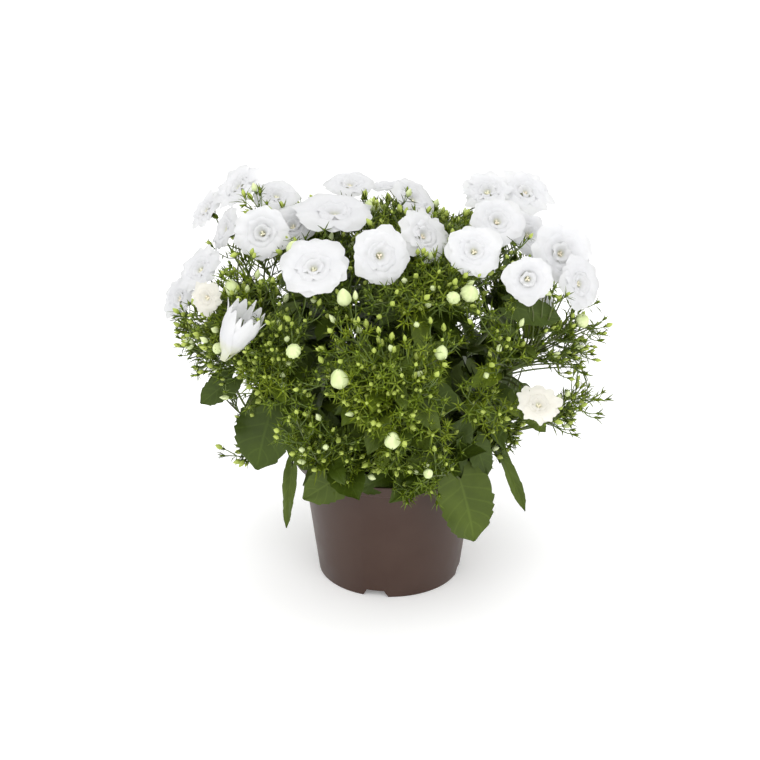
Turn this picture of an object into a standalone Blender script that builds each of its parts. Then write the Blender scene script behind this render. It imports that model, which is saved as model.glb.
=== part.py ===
"""Potted bellflower: a clump of thin stems with double white flowers, in a brown nursery pot.

The pot stands on the ground at z = 0, with its axis on Z. The front of the plant faces -Y.
A short main stem sits on the potting soil. One bough runs from it to each mass of foliage.
Each mass keeps to the space that is nearer to its own stem and flowers than to any other's.
Lengths are in metres, angles in degrees. An azimuth of 0 is the front and 90 is the right.
"""

import math
import random

import bmesh
import bpy
import numpy as np
from mathutils import Matrix, Vector
from mathutils.bvhtree import BVHTree

MM = 0.001
Z_UP = Vector((0, 0, 1))

# The pot
RIM_RADIUS = 60.0 * MM
COLLAR_RADIUS = 58.6 * MM
COLLAR_HEIGHT = 8.5 * MM
WALL_TOP_RADIUS = 54.4 * MM
BASE_RADIUS = 43.4 * MM
POT_HEIGHT = 83.0 * MM
COLLAR_Z = POT_HEIGHT - COLLAR_HEIGHT
POT_WALL = 1.6 * MM
FOOT_HEIGHT = 4.6 * MM
FLOOR_THICKNESS = 1.8 * MM
POT_SIDES = 48
NOTCH_FIRST_AZIMUTH = -11.5
NOTCH_COUNT = 4
NOTCH_WIDTH_LOW = 16.0 * MM
NOTCH_WIDTH_HIGH = 10.6 * MM
DRAIN_RADIUS = 4.0 * MM
DRAIN_RING_RADIUS = 29.0 * MM

# The potting soil and the short main stem that stands on it
CLEARANCE = 0.3 * MM
SOIL_EDGE_Z = 75.0 * MM
SOIL_CENTRE_Z = 77.0 * MM
SOIL_SIDES = 24
SOIL_RINGS = 6
SOIL_LUMP = 1.3 * MM
STEM_FOOT_RADIUS = 12.0 * MM
KNOB_RADIUS = 8.5 * MM
KNOB_HEIGHT = 11.0 * MM
KNOB = Vector((0, 0, SOIL_CENTRE_Z + CLEARANCE + KNOB_HEIGHT))

# The crown: a rounded box with a flatter underside
CROWN_CENTRE = Vector((0, 0, 145.0 * MM))
CROWN_RADIUS = 128.0 * MM
CROWN_UP = 96.0 * MM
CROWN_DOWN = 74.0 * MM
SQUARENESS_UP, SQUARENESS_DOWN = 2.6, 2.0
REACH_LEFT, REACH_RIGHT = 139.0 * MM, 135.5 * MM
REACH_FRONT = 131.0 * MM
HANGING_LIMIT_Z = 34.0 * MM

# Masses of foliage, in rings round the knob: name, count, elevation, first azimuth
RINGS = (
    ("lower", 7, 9.0, -26.0),
    ("middle", 6, 38.0, 0.0),
    ("upper", 3, 69.0, 30.0),
)
ENTRY_RADIUS = 36.0 * MM
STEM_SHARE = 0.74
STEM_SAG = 0.02
BOUGH_RADII = (1.8 * MM, 1.4 * MM)
MASS_STEM_RADII = (1.5 * MM, 1.1 * MM)
TWIG_RADII = (0.75 * MM, 0.55 * MM)
SPACE_MARGIN = 0.7 * MM
SPRAYS = 150
LEAVES_PER_SPRAY = 6
STEM_LEAVES = 13
SPRAY_LEAF = (25.0 * MM, 17.0 * MM, 0.9 * MM)
STEM_LEAF = (33.0 * MM, 28.0 * MM, 1.0 * MM)
ROOT_DEPTH = 0.45 * MM
LEAF_TURN = {3: 1, 5: 2}
SMALL_BUD = (4.0 * MM, 7.0 * MM)
SPRAY_LOWEST_SINE = -0.62
SEED = 7

# Double flowers
FLOWER_SIDES = 6
THROAT_SHARE = 0.3
CUP_DEPTH_SHARE = 0.34
PETAL_THICKNESS = 1.4 * MM
SMALLEST_FLOWER = 16.0 * MM

# The sprays that reach furthest to each side: distance from the axis, azimuth, height
EDGE_SPRAYS = (
    (REACH_LEFT, -90, 158 * MM),
    (REACH_RIGHT, 90, 112 * MM),
    (REACH_FRONT, 0, 150 * MM),
    (REACH_FRONT, 180, 152 * MM),
)

# Large buds, like small balloons: place of the tip in mm (right, back, up) and width in mm
BALLOON_BUDS = (
    (-27, -90, 219, 9),
    (-56, -102, 193, 9),
    (-30, -118, 180, 12),
    (1, -125, 144, 11),
    (46, -79, 220, 11),
    (36, -86, 219, 8),
    (-11, 12, 239, 10),
    (115, -40, 185, 9),
    (-57, -40, 232, 10),
    (-94, -50, 208, 9),
    (-101, -68, 179, 7),
    (29, -112, 194, 8),
    (-120, -40, 169, 7),
    (22, -114, 118, 8),
    (-50, 110, 176, 11),
    (60, 112, 160, 11),
    (-104, 84, 150, 10),
    (108, 84, 146, 10),
)

# Open flowers: place in mm (right, back, up), azimuth and elevation that it faces, width in mm
FLOWERS = (
    (-91, 30, 239, 300, 50, 34),
    (-67, 30, 233, 30, 72, 30),
    (-111, 40, 220, 240, 45, 26),
    (-98, 8, 220, 288, 26, 30),
    (-74, -24, 230, -12, 34, 36),
    (-32, -6, 239, 10, 70, 42),
    (-54, 8, 233, -25, 62, 32),
    (-43, -74, 230, -6, 58, 41),
    (-5, -69, 234, 22, 24, 41),
    (-24, 50, 233, 0, 80, 32),
    (12, 20, 235, 70, 46, 32),
    (19, -40, 233, 50, 40, 30),
    (46, -61, 234, 4, 42, 35),
    (62, -22, 237, 20, 48, 35),
    (58, 38, 233, -10, 64, 32),
    (82, 45, 230, 30, 60, 33),
    (87, 12, 222, 85, 22, 34),
    (75, -73, 220, 8, 14, 31),
    (99, -28, 219, 20, 30, 38),
    (110, -38, 204, 70, 14, 30),
    (84, -106, 160, 20, 26, 27),
    (-84, -92, 197, -52, 22, 38),
    (-113, -12, 203, 275, 48, 31),
    (-129, 0, 179, 275, 28, 28),
    (-105, -50, 200, -25, 14, 20),
    (-40, 96, 206, 190, 40, 37),
    (4, 84, 221, 185, 52, 36),
    (40, 98, 204, 172, 36, 38),
    (-78, 96, 186, 205, 28, 36),
    (80, 94, 190, 145, 30, 36),
    (-106, 72, 170, 235, 22, 34),
    (112, 60, 182, 125, 26, 35),
    (16, 120, 168, 180, 12, 34),
    (-34, 116, 140, 195, 4, 30),
    (122, 20, 160, 95, 10, 32),
)

# Broad leaves at the foot of the crown: place of the leaf's base, azimuth and elevation that it
# points to, length and width in mm
BROAD_LEAVES = (
    (-73, -30, 122, -33, -51, 40, 34),
    (-90, -25, 137, -71, -29, 26, 20),
    (-20, -52, 91, -64, -24, 30, 26),
    (-57, -45, 89, -42, -79, 37, 15),
    (0, -50, 88, -45, -8, 22, 16),
    (36, -58, 88, 56, -66, 38, 34),
    (33, -50, 109, 33, -63, 27, 20),
    (63, -35, 91, 66, -60, 35, 18),
    (81, -40, 122, 59, -35, 20, 14),
    (84, 20, 100, 100, -50, 36, 30),
    (-78, 40, 96, 246, -52, 38, 32),
    (46, 66, 88, 150, -58, 40, 34),
    (-20, 78, 88, 186, -56, 38, 32),
    (78, 62, 110, 132, -34, 34, 28),
    (-60, 78, 116, 220, -24, 34, 28),
)


def heading(azimuth, elevation):
    """Unit vector that points to an azimuth and elevation."""
    a, e = math.radians(azimuth), math.radians(elevation)
    return Vector((math.sin(a) * math.cos(e), -math.cos(a) * math.cos(e), math.sin(e)))


def crown_reach(direction):
    """Distance from the crown's centre to its surface in a direction."""
    height, power = (CROWN_UP, SQUARENESS_UP) if direction.z > 0 else (CROWN_DOWN, SQUARENESS_DOWN)
    parts = (direction.xy.length / CROWN_RADIUS, abs(direction.z) / height)
    return sum(part ** power for part in parts) ** (-1 / power)


def inside_crown(point):
    """Whether a point lies within the crown's surface, or just outside it."""
    offset = point - CROWN_CENTRE
    return offset.length < crown_reach(offset.normalized()) * 1.02


def wall_radius(z):
    """Outer radius of the pot's tapered wall at a height."""
    return BASE_RADIUS + (WALL_TOP_RADIUS - BASE_RADIUS) * z / POT_HEIGHT


def pot_radius_at(z):
    """Outer radius of the whole pot at a height, for keeping foliage clear of it."""
    if z > POT_HEIGHT:
        return 0.0
    return RIM_RADIUS if z > COLLAR_Z else wall_radius(z)


def bezier(start, control, end, steps):
    """Points on a quadratic curve, both ends included."""
    points = []
    for i in range(steps + 1):
        t = i / steps
        points.append(start * (1 - t) ** 2 + control * 2 * t * (1 - t) + end * t * t)
    return points


# Materials
def material(name, colour, roughness, metallic=0.0):
    made = bpy.data.materials.new(name)
    made.use_nodes = True
    shader = made.node_tree.nodes["Principled BSDF"]
    shader.inputs["Base Color"].default_value = (*colour, 1)
    shader.inputs["Roughness"].default_value = roughness
    shader.inputs["Metallic"].default_value = metallic
    return made


# Mesh helpers
def object_from(name, mesh_builder, finish, smooth=True):
    """A new object in the scene, from a bmesh."""
    mesh = bpy.data.meshes.new(name)
    bmesh.ops.recalc_face_normals(mesh_builder, faces=mesh_builder.faces)
    mesh_builder.to_mesh(mesh)
    mesh_builder.free()
    if smooth:
        mesh.shade_smooth()
        mesh.set_sharp_from_angle(angle=math.radians(40))
    mesh.materials.append(finish)
    made = bpy.data.objects.new(name, mesh)
    bpy.context.scene.collection.objects.link(made)
    return made


def ring_of(bm, centre, across, other, radius, sides):
    """Corners of one ring of a round piece. A radius of 0 gives one shared corner."""
    if radius == 0:
        return [bm.verts.new(centre)] * sides
    angles = [2 * math.pi * k / sides for k in range(sides)]
    return [bm.verts.new(centre + (across * math.cos(a) + other * math.sin(a)) * radius) for a in angles]


def skin(bm, rings):
    """Faces between each ring and the next."""
    for low, high in zip(rings, rings[1:]):
        for k in range(len(low)):
            after = (k + 1) % len(low)
            bm.faces.new(list(dict.fromkeys((low[k], low[after], high[after], high[k]))))


def turned(profile, sides):
    """A closed solid turned round Z from (radius, height) points. Radius 0 is a point on the axis."""
    bm = bmesh.new()
    x, y = Vector((1, 0, 0)), Vector((0, 1, 0))
    skin(bm, [ring_of(bm, Z_UP * height, x, y, radius, sides) for radius, height in profile])
    return bm


def frames_along(points):
    """Three unit vectors at each point: along the line, and two across it that don't twist."""
    frames = []
    side = (points[1] - points[0]).normalized().orthogonal()
    last = points[1] - points[0]
    for i in range(len(points)):
        along = (points[min(i + 1, len(points) - 1)] - points[max(i - 1, 0)]).normalized()
        if along.dot(last) < 0:
            along = -along
        side = (side - along * side.dot(along)).normalized()
        frames.append((along, side, along.cross(side)))
        last = along
    return frames


def tube(points, radii, sides):
    """A closed tube along points. It has flat caps, or a point where its last radius is 0."""
    bm = bmesh.new()
    rings = []
    for point, radius, (_, side, other) in zip(points, radii, frames_along(points)):
        rings.append(ring_of(bm, point, side, other, radius, sides))
    skin(bm, rings)
    bm.faces.new(rings[0])
    if radii[-1] > 0:
        bm.faces.new(rings[-1])
    return bm


def blend_radii(ends, count):
    """Radii from a first to a last one in equal steps."""
    return [ends[0] + (ends[1] - ends[0]) * i / (count - 1) for i in range(count)]


def frame_of(direction, up_hint):
    """Matrix whose Y is the direction and whose Z is as near to the hint as it can be."""
    y = direction.normalized()
    x = y.cross(up_hint)
    if x.length < 1e-4:
        x = y.orthogonal()
    x.normalize()
    return Matrix((x, y, x.cross(y))).transposed()


def blade_points(base, direction, up_hint, length, width, thickness):
    """Corners of an eight-faced leaf: foot, tip, two shoulders, and a ridge above and below."""
    turn = frame_of(direction, up_hint)
    lift, half, thick = 0.06 * width, width / 2, thickness / 2
    ridge, shoulder = 0.3 * length, 0.42 * length
    corners = ((0, 0, 0), (0, length, 0), (-half, shoulder, lift), (half, shoulder, lift))
    corners += ((0, ridge, thick), (0, ridge, -thick))
    return [base + turn @ Vector(corner) for corner in corners]


def along_blade(points):
    """The corners of a leaf beyond its foot, and places between them, for testing where it lies."""
    foot, tip, left, right = points[:4]
    between = [(foot, left), (foot, right), (foot, tip), (left, tip), (right, tip), (left, right)]
    return points[1:] + [a.lerp(b, share) for a, b in between for share in (0.35, 0.65)]


def blade(points):
    bm = bmesh.new()
    foot, tip, left, right, above, below = [bm.verts.new(p) for p in points]
    for ridge in (above, below):
        for shoulder in (left, right):
            bm.faces.new((foot, shoulder, ridge))
            bm.faces.new((tip, shoulder, ridge))
    return bm


# The pot, its soil and the main stem
def build_pot(finish):
    """A tapered pot with a wider collar at the rim and a raised floor inside a notched foot ring."""
    floor_z = FOOT_HEIGHT + FLOOR_THICKNESS
    foot_inner = BASE_RADIUS - 2 * POT_WALL
    profile = (
        (0, FOOT_HEIGHT),
        (foot_inner, FOOT_HEIGHT),
        (foot_inner, 0),
        (BASE_RADIUS, 0),
        (wall_radius(COLLAR_Z), COLLAR_Z),
        (COLLAR_RADIUS, COLLAR_Z + POT_WALL),
        (RIM_RADIUS, POT_HEIGHT),
        (RIM_RADIUS - POT_WALL, POT_HEIGHT),
        (COLLAR_RADIUS - POT_WALL, COLLAR_Z + 2 * POT_WALL),
        (wall_radius(COLLAR_Z) - POT_WALL, COLLAR_Z),
        (wall_radius(floor_z) - POT_WALL, floor_z),
        (0, floor_z),
    )
    pot = object_from("pot", turned(profile, POT_SIDES), finish)
    azimuths = [NOTCH_FIRST_AZIMUTH + 360 / NOTCH_COUNT * k for k in range(NOTCH_COUNT)]
    cutters = [notch_cutter(azimuth, finish) for azimuth in azimuths]
    cutters += [drain_cutter(azimuth, finish) for azimuth in azimuths]
    for cutter in cutters:
        cutter.hide_render = True
        cutter.display_type = "WIRE"
        cut = pot.modifiers.new("cut " + cutter.name, "BOOLEAN")
        cut.object = cutter
        cut.operation = "DIFFERENCE"
    return pot


def notch_cutter(azimuth, finish):
    """A block with sloping sides that cuts one drainage notch through the foot ring."""
    bm = bmesh.new()
    outline = (
        (-NOTCH_WIDTH_LOW / 2 - 1 * MM, -2 * MM),
        (NOTCH_WIDTH_LOW / 2 + 1 * MM, -2 * MM),
        (NOTCH_WIDTH_HIGH / 2, FOOT_HEIGHT - 0.1 * MM),
        (-NOTCH_WIDTH_HIGH / 2, FOOT_HEIGHT - 0.1 * MM),
    )
    outward = heading(azimuth, 0)
    across = outward.cross(Z_UP)
    rings = []
    for distance in (BASE_RADIUS - 8 * MM, BASE_RADIUS + 6 * MM):
        rings.append([bm.verts.new(outward * distance + across * x + Z_UP * z) for x, z in outline])
    for k in range(4):
        bm.faces.new((rings[0][k], rings[0][(k + 1) % 4], rings[1][(k + 1) % 4], rings[1][k]))
    bm.faces.new(rings[0])
    bm.faces.new(rings[1])
    return object_from(f"notch_{round(azimuth)}", bm, finish, smooth=False)


def drain_cutter(azimuth, finish):
    """A round hole through the pot's floor."""
    centre = heading(azimuth, 0) * DRAIN_RING_RADIUS
    ends = [centre + Z_UP * z for z in (FOOT_HEIGHT - 2 * MM, FOOT_HEIGHT + FLOOR_THICKNESS + 2 * MM)]
    return object_from(f"drain_{round(azimuth)}", tube(ends, [DRAIN_RADIUS] * 2, 12), finish, smooth=False)


def build_soil(finish):
    """Potting soil that fills the pot, lumpy on top and flat under the main stem."""
    rng = random.Random(SEED)
    floor_z = FOOT_HEIGHT + FLOOR_THICKNESS + CLEARANCE
    inset = POT_WALL + CLEARANCE
    wall_top = COLLAR_Z - CLEARANCE
    edge = wall_radius(wall_top) - inset - 1.5 * MM
    flat = STEM_FOOT_RADIUS + 2 * MM
    profile = [(0, floor_z)]
    profile += [(wall_radius(z) - inset, z) for z in (floor_z, wall_top)]
    for share in np.linspace(0, 1, SOIL_RINGS):
        profile.append((edge + (flat - edge) * share, SOIL_EDGE_Z + (SOIL_CENTRE_Z - SOIL_EDGE_Z) * share))
    profile.append((0, SOIL_CENTRE_Z))
    bm = turned(profile, SOIL_SIDES)
    for vertex in bm.verts:
        if vertex.co.z > wall_top + 0.5 * MM and vertex.co.xy.length > flat + 1 * MM:
            vertex.co.z += rng.uniform(-0.2, 1) * SOIL_LUMP
    return object_from("soil", bm, finish)


def build_main_stem(finish):
    """The short woody stem that the boughs grow from: a flared foot under a rounded knob."""
    foot_z = SOIL_CENTRE_Z + CLEARANCE
    profile = [
        (0, foot_z),
        (STEM_FOOT_RADIUS, foot_z),
        (STEM_FOOT_RADIUS * 0.78, foot_z + 1.5 * MM),
        (KNOB_RADIUS * 0.82, foot_z + 4.5 * MM),
    ]
    for elevation in (-25, 0, 25, 50, 72):
        e = math.radians(elevation)
        profile.append((KNOB_RADIUS * math.cos(e), KNOB.z + KNOB_RADIUS * math.sin(e)))
    profile.append((0, KNOB.z + KNOB_RADIUS))
    return object_from("main_stem", turned(profile, 16), finish)


# Boughs and masses
class Mass:
    """One mass of foliage: its direction from the knob, its stem, and the things that it carries."""

    def __init__(self, ring, number, azimuth, elevation):
        self.name = f"{ring}_{number}"
        self.direction = heading(azimuth, elevation)
        self.azimuth = azimuth
        self.elevation = elevation
        self.reach = self.distance_to_surface()
        entry = KNOB + self.direction * (ENTRY_RADIUS + CLEARANCE)
        tip = KNOB + self.direction * (self.reach * STEM_SHARE)
        bend = (entry + tip) / 2 - Z_UP * STEM_SAG * self.reach
        self.stem = bezier(entry, bend, tip, 4)
        self.seeds = list(self.stem) + [KNOB + self.direction * (self.reach * 0.9)]
        self.flowers = []
        self.broad_leaves = []
        self.sprays = []

    def distance_to_surface(self):
        """Distance from the knob to the crown's surface along the mass's direction."""
        distance = ENTRY_RADIUS
        while True:
            offset = KNOB + self.direction * distance - CROWN_CENTRE
            if offset.length > crown_reach(offset.normalized()):
                return distance
            distance += 1 * MM


def plan_masses():
    masses = []
    for ring, count, elevation, first in RINGS:
        for k in range(count):
            masses.append(Mass(ring, k + 1, first + 360 / count * k, elevation))
    return masses


def bough_points(mass):
    """A bough leaves the knob more steeply than it arrives at its mass."""
    leave = heading(mass.azimuth, mass.elevation + (90 - mass.elevation) * 0.12)
    start = KNOB + leave * (KNOB_RADIUS + CLEARANCE)
    end = KNOB + mass.direction * ENTRY_RADIUS
    return bezier(start, end - mass.direction * 15 * MM, end, 4)


def nearest_mass(point, masses):
    return min(masses, key=lambda m: min((point - s).length for s in m.seeds))


class Spaces:
    """Tells whether points keep to one mass's space, by their distance to every mass's seeds."""

    def __init__(self, masses):
        self.places = np.array([tuple(s) for m in masses for s in m.seeds])
        self.owners = np.array([i for i, m in enumerate(masses) for _ in m.seeds])

    def room(self, point, owner):
        """Half of how much nearer the point is to its own mass's seeds than to another's."""
        gaps = np.linalg.norm(self.places - np.array(point), axis=1)
        return (gaps[self.owners != owner].min() - gaps[self.owners == owner].min()) / 2

    def holds(self, points, owner):
        return all(self.room(p, owner) > SPACE_MARGIN and clear_of_rest(p) for p in points)


def clear_of_rest(point):
    """Whether a point is clear of the pot, the soil, the boughs and the crown's outer limits."""
    margin = 1.5 * MM
    if (point - KNOB).length < ENTRY_RADIUS + 2 * MM or point.z < HANGING_LIMIT_Z:
        return False
    if point.xy.length < pot_radius_at(point.z - margin) + margin:
        return False
    return -REACH_LEFT <= point.x <= REACH_RIGHT and abs(point.y) <= REACH_FRONT


def twig_from(mass, tip, lift):
    """Points of a twig that leaves the mass's stem at a slant and ends at the tip."""
    stem = mass.stem
    along = (stem[-1] - stem[0]).normalized()
    ahead = (tip - stem[0]).dot(along)
    aside = ((tip - stem[0]) - along * ahead).length
    length = (stem[-1] - stem[0]).length
    share = 0.06 + 0.9 / (1 + math.exp(2 - 4 * (ahead - aside * 0.9) / length))
    place = share * (len(stem) - 1)
    k = min(int(place), len(stem) - 2)
    foot = stem[k].lerp(stem[k + 1], place - k)
    control = foot + along * (tip - foot).length * 0.4 + Z_UP * lift
    return bezier(foot, control, tip, 2)


def plan_fixed_things(masses):
    """Gives every flower to the nearest mass and every broad leaf to the nearest of the lower ring,
    then adds them to its space."""
    for x, y, z, azimuth, elevation, width in FLOWERS:
        place, facing = Vector((x, y, z)) * MM, heading(azimuth, elevation)
        mass = nearest_mass(place, masses)
        mass.flowers.append((place, facing, width * MM / 2))
    for x, y, z, azimuth, elevation, length, width in BROAD_LEAVES:
        base, pointing = Vector((x, y, z)) * MM, heading(azimuth, elevation)
        mass = nearest_mass(base, masses[:RINGS[0][1]])
        mass.broad_leaves.append((base, pointing, length * MM, width * MM))
    for mass in masses:
        for place, facing, radius in mass.flowers:
            foot = place - facing * radius * CUP_DEPTH_SHARE
            mass.seeds += [place] + twig_from(mass, foot, 2 * MM)[1:]
        for base, pointing, length, width in mass.broad_leaves:
            mass.seeds += blade_points(base, pointing, Z_UP, length, width, 0)
            mass.seeds += twig_from(mass, base, 6 * MM)[1:]


def plan_sprays(masses):
    """Spray tips, each given to the nearest mass: at the crown's edges, at its large buds, and then
    on a golden-angle lattice over its surface."""
    sprays = []
    for edge, azimuth, height in EDGE_SPRAYS:
        direction = heading(azimuth, 0)
        sprays.append((direction * edge + Z_UP * height, direction, *SMALL_BUD))
    for x, y, z, width in BALLOON_BUDS:
        tip = Vector((x, y, z)) * MM
        direction = (tip - CROWN_CENTRE + Z_UP * 20 * MM).normalized()
        sprays.append((tip, direction, width * MM, width * 1.1 * MM))
    rng = random.Random(SEED)
    golden = 180 * (3 - math.sqrt(5))
    for i in range(SPRAYS):
        sine = SPRAY_LOWEST_SINE + (1 - SPRAY_LOWEST_SINE) * (i + 0.5) / SPRAYS
        direction = heading(golden * i, math.degrees(math.asin(sine)))
        tip = CROWN_CENTRE + direction * crown_reach(direction) * rng.uniform(0.88, 1.0)
        sprays.append((tip, direction, *SMALL_BUD))
    for spray in sprays:
        nearest_mass(spray[0], masses).sprays.append(spray)


class Growth:
    """The pieces of one mass. A piece that would leave the mass's space, or cross another, is skipped."""

    def __init__(self, mass, owner, spaces):
        self.mass, self.owner, self.spaces = mass, owner, spaces
        self.rng = random.Random(SEED * 100 + owner)
        self.pieces = []
        self.trees = []

    def crosses(self, piece, carrier=None):
        """Whether a piece crosses any other piece but its carrier."""
        tree = BVHTree.FromBMesh(piece)
        return any(tree.overlap(other) for k, other in enumerate(self.trees) if k != carrier)

    def add(self, piece):
        """Adds a piece and gives its number."""
        self.pieces.append(piece)
        self.trees.append(BVHTree.FromBMesh(piece))
        return len(self.pieces) - 1

    def twig(self, points, radii, sides):
        """Adds a twig and gives its number, or None where its outer half crosses another piece."""
        if self.crosses(tube(points[1:], radii[1:], sides)):
            return None
        return self.add(tube(points, radii, sides))

    def holds(self, points):
        return self.spaces.holds(points, self.owner)

    def flower(self, place, facing, radius):
        """A double flower that its twig widens into: a thick cup, filled by its inner petals.

        It is made smaller where a neighbour's space is too near.
        """
        radius = min(radius, self.spaces.room(place, self.owner) - SPACE_MARGIN)
        if radius < SMALLEST_FLOWER / 2:
            return
        depth = radius * 2 * CUP_DEPTH_SHARE
        points = twig_from(self.mass, place - facing * depth, 2 * MM)
        points += [place + facing * lift for lift in (-depth * 0.85, 0, PETAL_THICKNESS / 2, -depth * 0.1)]
        radii = blend_radii(TWIG_RADII, 3) + [radius * THROAT_SHARE, radius, radius - PETAL_THICKNESS, 0]
        self.add(tube(points, radii, FLOWER_SIDES))

    def broad_leaf(self, base, pointing, length, width):
        """A large leaf on a long stalk. The leaf's root is sunk into the end of the stalk."""
        points = twig_from(self.mass, base, 6 * MM)
        corners = blade_points(base - pointing * ROOT_DEPTH, pointing, Z_UP, length, width, 1.0 * MM)
        if self.holds(points[2:]) and self.holds(along_blade(corners)):
            stalk = self.twig(points, blend_radii(TWIG_RADII, len(points)), 3)
            if stalk is not None:
                self.add(blade(corners))

    def spray(self, tip, direction, bud_width, bud_length):
        """A twig that swells into a bud at its tip, with leaves along it."""
        points = twig_from(self.mass, tip - direction * bud_length, self.rng.uniform(0, 5) * MM)
        bud = [points[-1] + direction * bud_length * share for share in (0.6, 1)]
        if not self.holds([points[1].lerp(points[2], 0.5)] + points[2:] + bud):
            return
        radii = blend_radii(TWIG_RADII, len(points))
        twig = self.twig(points + bud, radii + [bud_width / 2, 0], 3)
        if twig is not None:
            shares = [0.96 - 0.85 * k / LEAVES_PER_SPRAY for k in range(LEAVES_PER_SPRAY)]
            self.leaves(points, radii, 3, shares, SPRAY_LEAF, twig)

    def leaves(self, points, radii, sides, shares, leaf_size, carrier):
        """Leaves at shares of a stem's length. Each is rooted in the middle of one of its flat sides."""
        frames = frames_along(points)
        first = self.rng.randrange(sides)
        for k, share in enumerate(shares):
            j = min(int(share * (len(points) - 1)), len(points) - 2)
            along, side, other = frames[j + 1]
            foot = points[j].lerp(points[j + 1], share * (len(points) - 1) - j)
            angle = 2 * math.pi * (first + k * LEAF_TURN[sides] + 0.5) / sides
            normal = side * math.cos(angle) + other * math.sin(angle)
            depth = max(radii[j + 1] * math.cos(math.pi / sides) - ROOT_DEPTH, 0)
            slant = (along * self.rng.uniform(0.4, 0.9) + normal).normalized()
            length, width, thickness = leaf_size
            length *= self.rng.uniform(0.85, 1.15)
            corners = blade_points(foot + normal * depth, slant, Z_UP, length, width, thickness)
            inside = inside_crown(corners[1]) and self.holds(along_blade(corners))
            if inside and not self.crosses(blade(corners), carrier):
                self.add(blade(corners))


def grow(mass, owner, spaces):
    """The mass's stem, with its flowers, broad leaves, sprays and stem leaves, as loose meshes."""
    growth = Growth(mass, owner, spaces)
    radii = blend_radii(MASS_STEM_RADII, len(mass.stem))
    stem = growth.add(tube(mass.stem, radii, 5))
    for flower in mass.flowers:
        growth.flower(*flower)
    for leaf in mass.broad_leaves:
        growth.broad_leaf(*leaf)
    for spray in mass.sprays:
        growth.spray(*spray)
    shares = [(k + 0.7) / STEM_LEAVES for k in range(STEM_LEAVES)]
    growth.leaves(mass.stem, radii, 5, shares, STEM_LEAF, stem)
    return growth.pieces


def fuse(name, pieces, finish):
    """Joins a mass's stem and pieces into one solid, and drops any loose scrap."""
    others = bpy.data.collections.new(name + " pieces")
    bpy.context.scene.collection.children.link(others)
    for k, bm in enumerate(pieces[1:]):
        piece = object_from(f"{name} piece {k}", bm, finish, smooth=False)
        bpy.context.scene.collection.objects.unlink(piece)
        others.objects.link(piece)
    whole = object_from(name, pieces[0], finish, smooth=False)
    union = whole.modifiers.new("union", "BOOLEAN")
    union.operation = "UNION"
    union.operand_type = "COLLECTION"
    union.collection = others
    union.solver = "MANIFOLD"
    bpy.context.view_layer.update()
    graph = bpy.context.evaluated_depsgraph_get()
    joined = bpy.data.meshes.new_from_object(whole.evaluated_get(graph))
    whole.modifiers.clear()
    whole.data = joined
    keep_largest_body(joined)
    for piece in list(others.objects):
        bpy.data.objects.remove(piece)
    bpy.data.collections.remove(others)
    return whole


def keep_largest_body(mesh):
    """Deletes all but the body with the most corners."""
    bm = bmesh.new()
    bm.from_mesh(mesh)
    unseen, bodies = set(bm.verts), []
    while unseen:
        body, front = set(), [unseen.pop()]
        while front:
            vertex = front.pop()
            body.add(vertex)
            for edge in vertex.link_edges:
                other = edge.other_vert(vertex)
                if other in unseen:
                    unseen.remove(other)
                    front.append(other)
        bodies.append(body)
    bodies.sort(key=len)
    for scrap in bodies[:-1]:
        bmesh.ops.delete(bm, geom=list(scrap), context="VERTS")
    bm.to_mesh(mesh)
    bm.free()


def main():
    for obj in list(bpy.data.objects):
        bpy.data.objects.remove(obj)
    plastic = material("pot_plastic", (0.09, 0.053, 0.04), 0.38)
    earth = material("potting_soil", (0.02, 0.013, 0.009), 0.95)
    bark = material("stem_bark", (0.16, 0.2, 0.06), 0.6)
    leaf = material("foliage", (0.1, 0.2, 0.03), 0.5)

    build_pot(plastic)
    build_soil(earth)
    build_main_stem(bark)

    masses = plan_masses()
    plan_fixed_things(masses)
    plan_sprays(masses)
    spaces = Spaces(masses)
    for owner, mass in enumerate(masses):
        points = bough_points(mass)
        object_from("bough_" + mass.name, tube(points, blend_radii(BOUGH_RADII, len(points)), 5), bark)
        fuse("foliage_" + mass.name, grow(mass, owner, spaces), leaf)


main()
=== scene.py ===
"""Potted bellflower: the looks of a double white bellflower in a brown nursery pot.

The front of the plant faces -Y. An azimuth of 0 is the front and 90 is the right. Lengths are in
metres and angles in degrees. All places are in the frame of the solids, whose origin is the middle
of the pot's foot on the ground.
"""

import math
import random

import bmesh
import bpy
import numpy as np
from mathutils import Matrix, Vector


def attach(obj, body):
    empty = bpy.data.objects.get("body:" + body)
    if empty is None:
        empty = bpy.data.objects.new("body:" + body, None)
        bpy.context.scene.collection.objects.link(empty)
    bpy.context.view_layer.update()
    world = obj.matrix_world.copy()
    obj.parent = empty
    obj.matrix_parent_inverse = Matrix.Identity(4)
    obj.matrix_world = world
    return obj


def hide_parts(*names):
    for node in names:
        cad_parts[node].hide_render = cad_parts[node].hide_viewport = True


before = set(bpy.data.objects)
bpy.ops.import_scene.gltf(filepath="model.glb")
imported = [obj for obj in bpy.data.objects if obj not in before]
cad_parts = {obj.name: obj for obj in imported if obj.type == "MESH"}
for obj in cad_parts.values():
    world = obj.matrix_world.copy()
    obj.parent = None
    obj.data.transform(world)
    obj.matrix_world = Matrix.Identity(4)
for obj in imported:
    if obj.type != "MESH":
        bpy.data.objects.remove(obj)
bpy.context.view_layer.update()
MM = 0.001
Z_UP = Vector((0, 0, 1))


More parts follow.
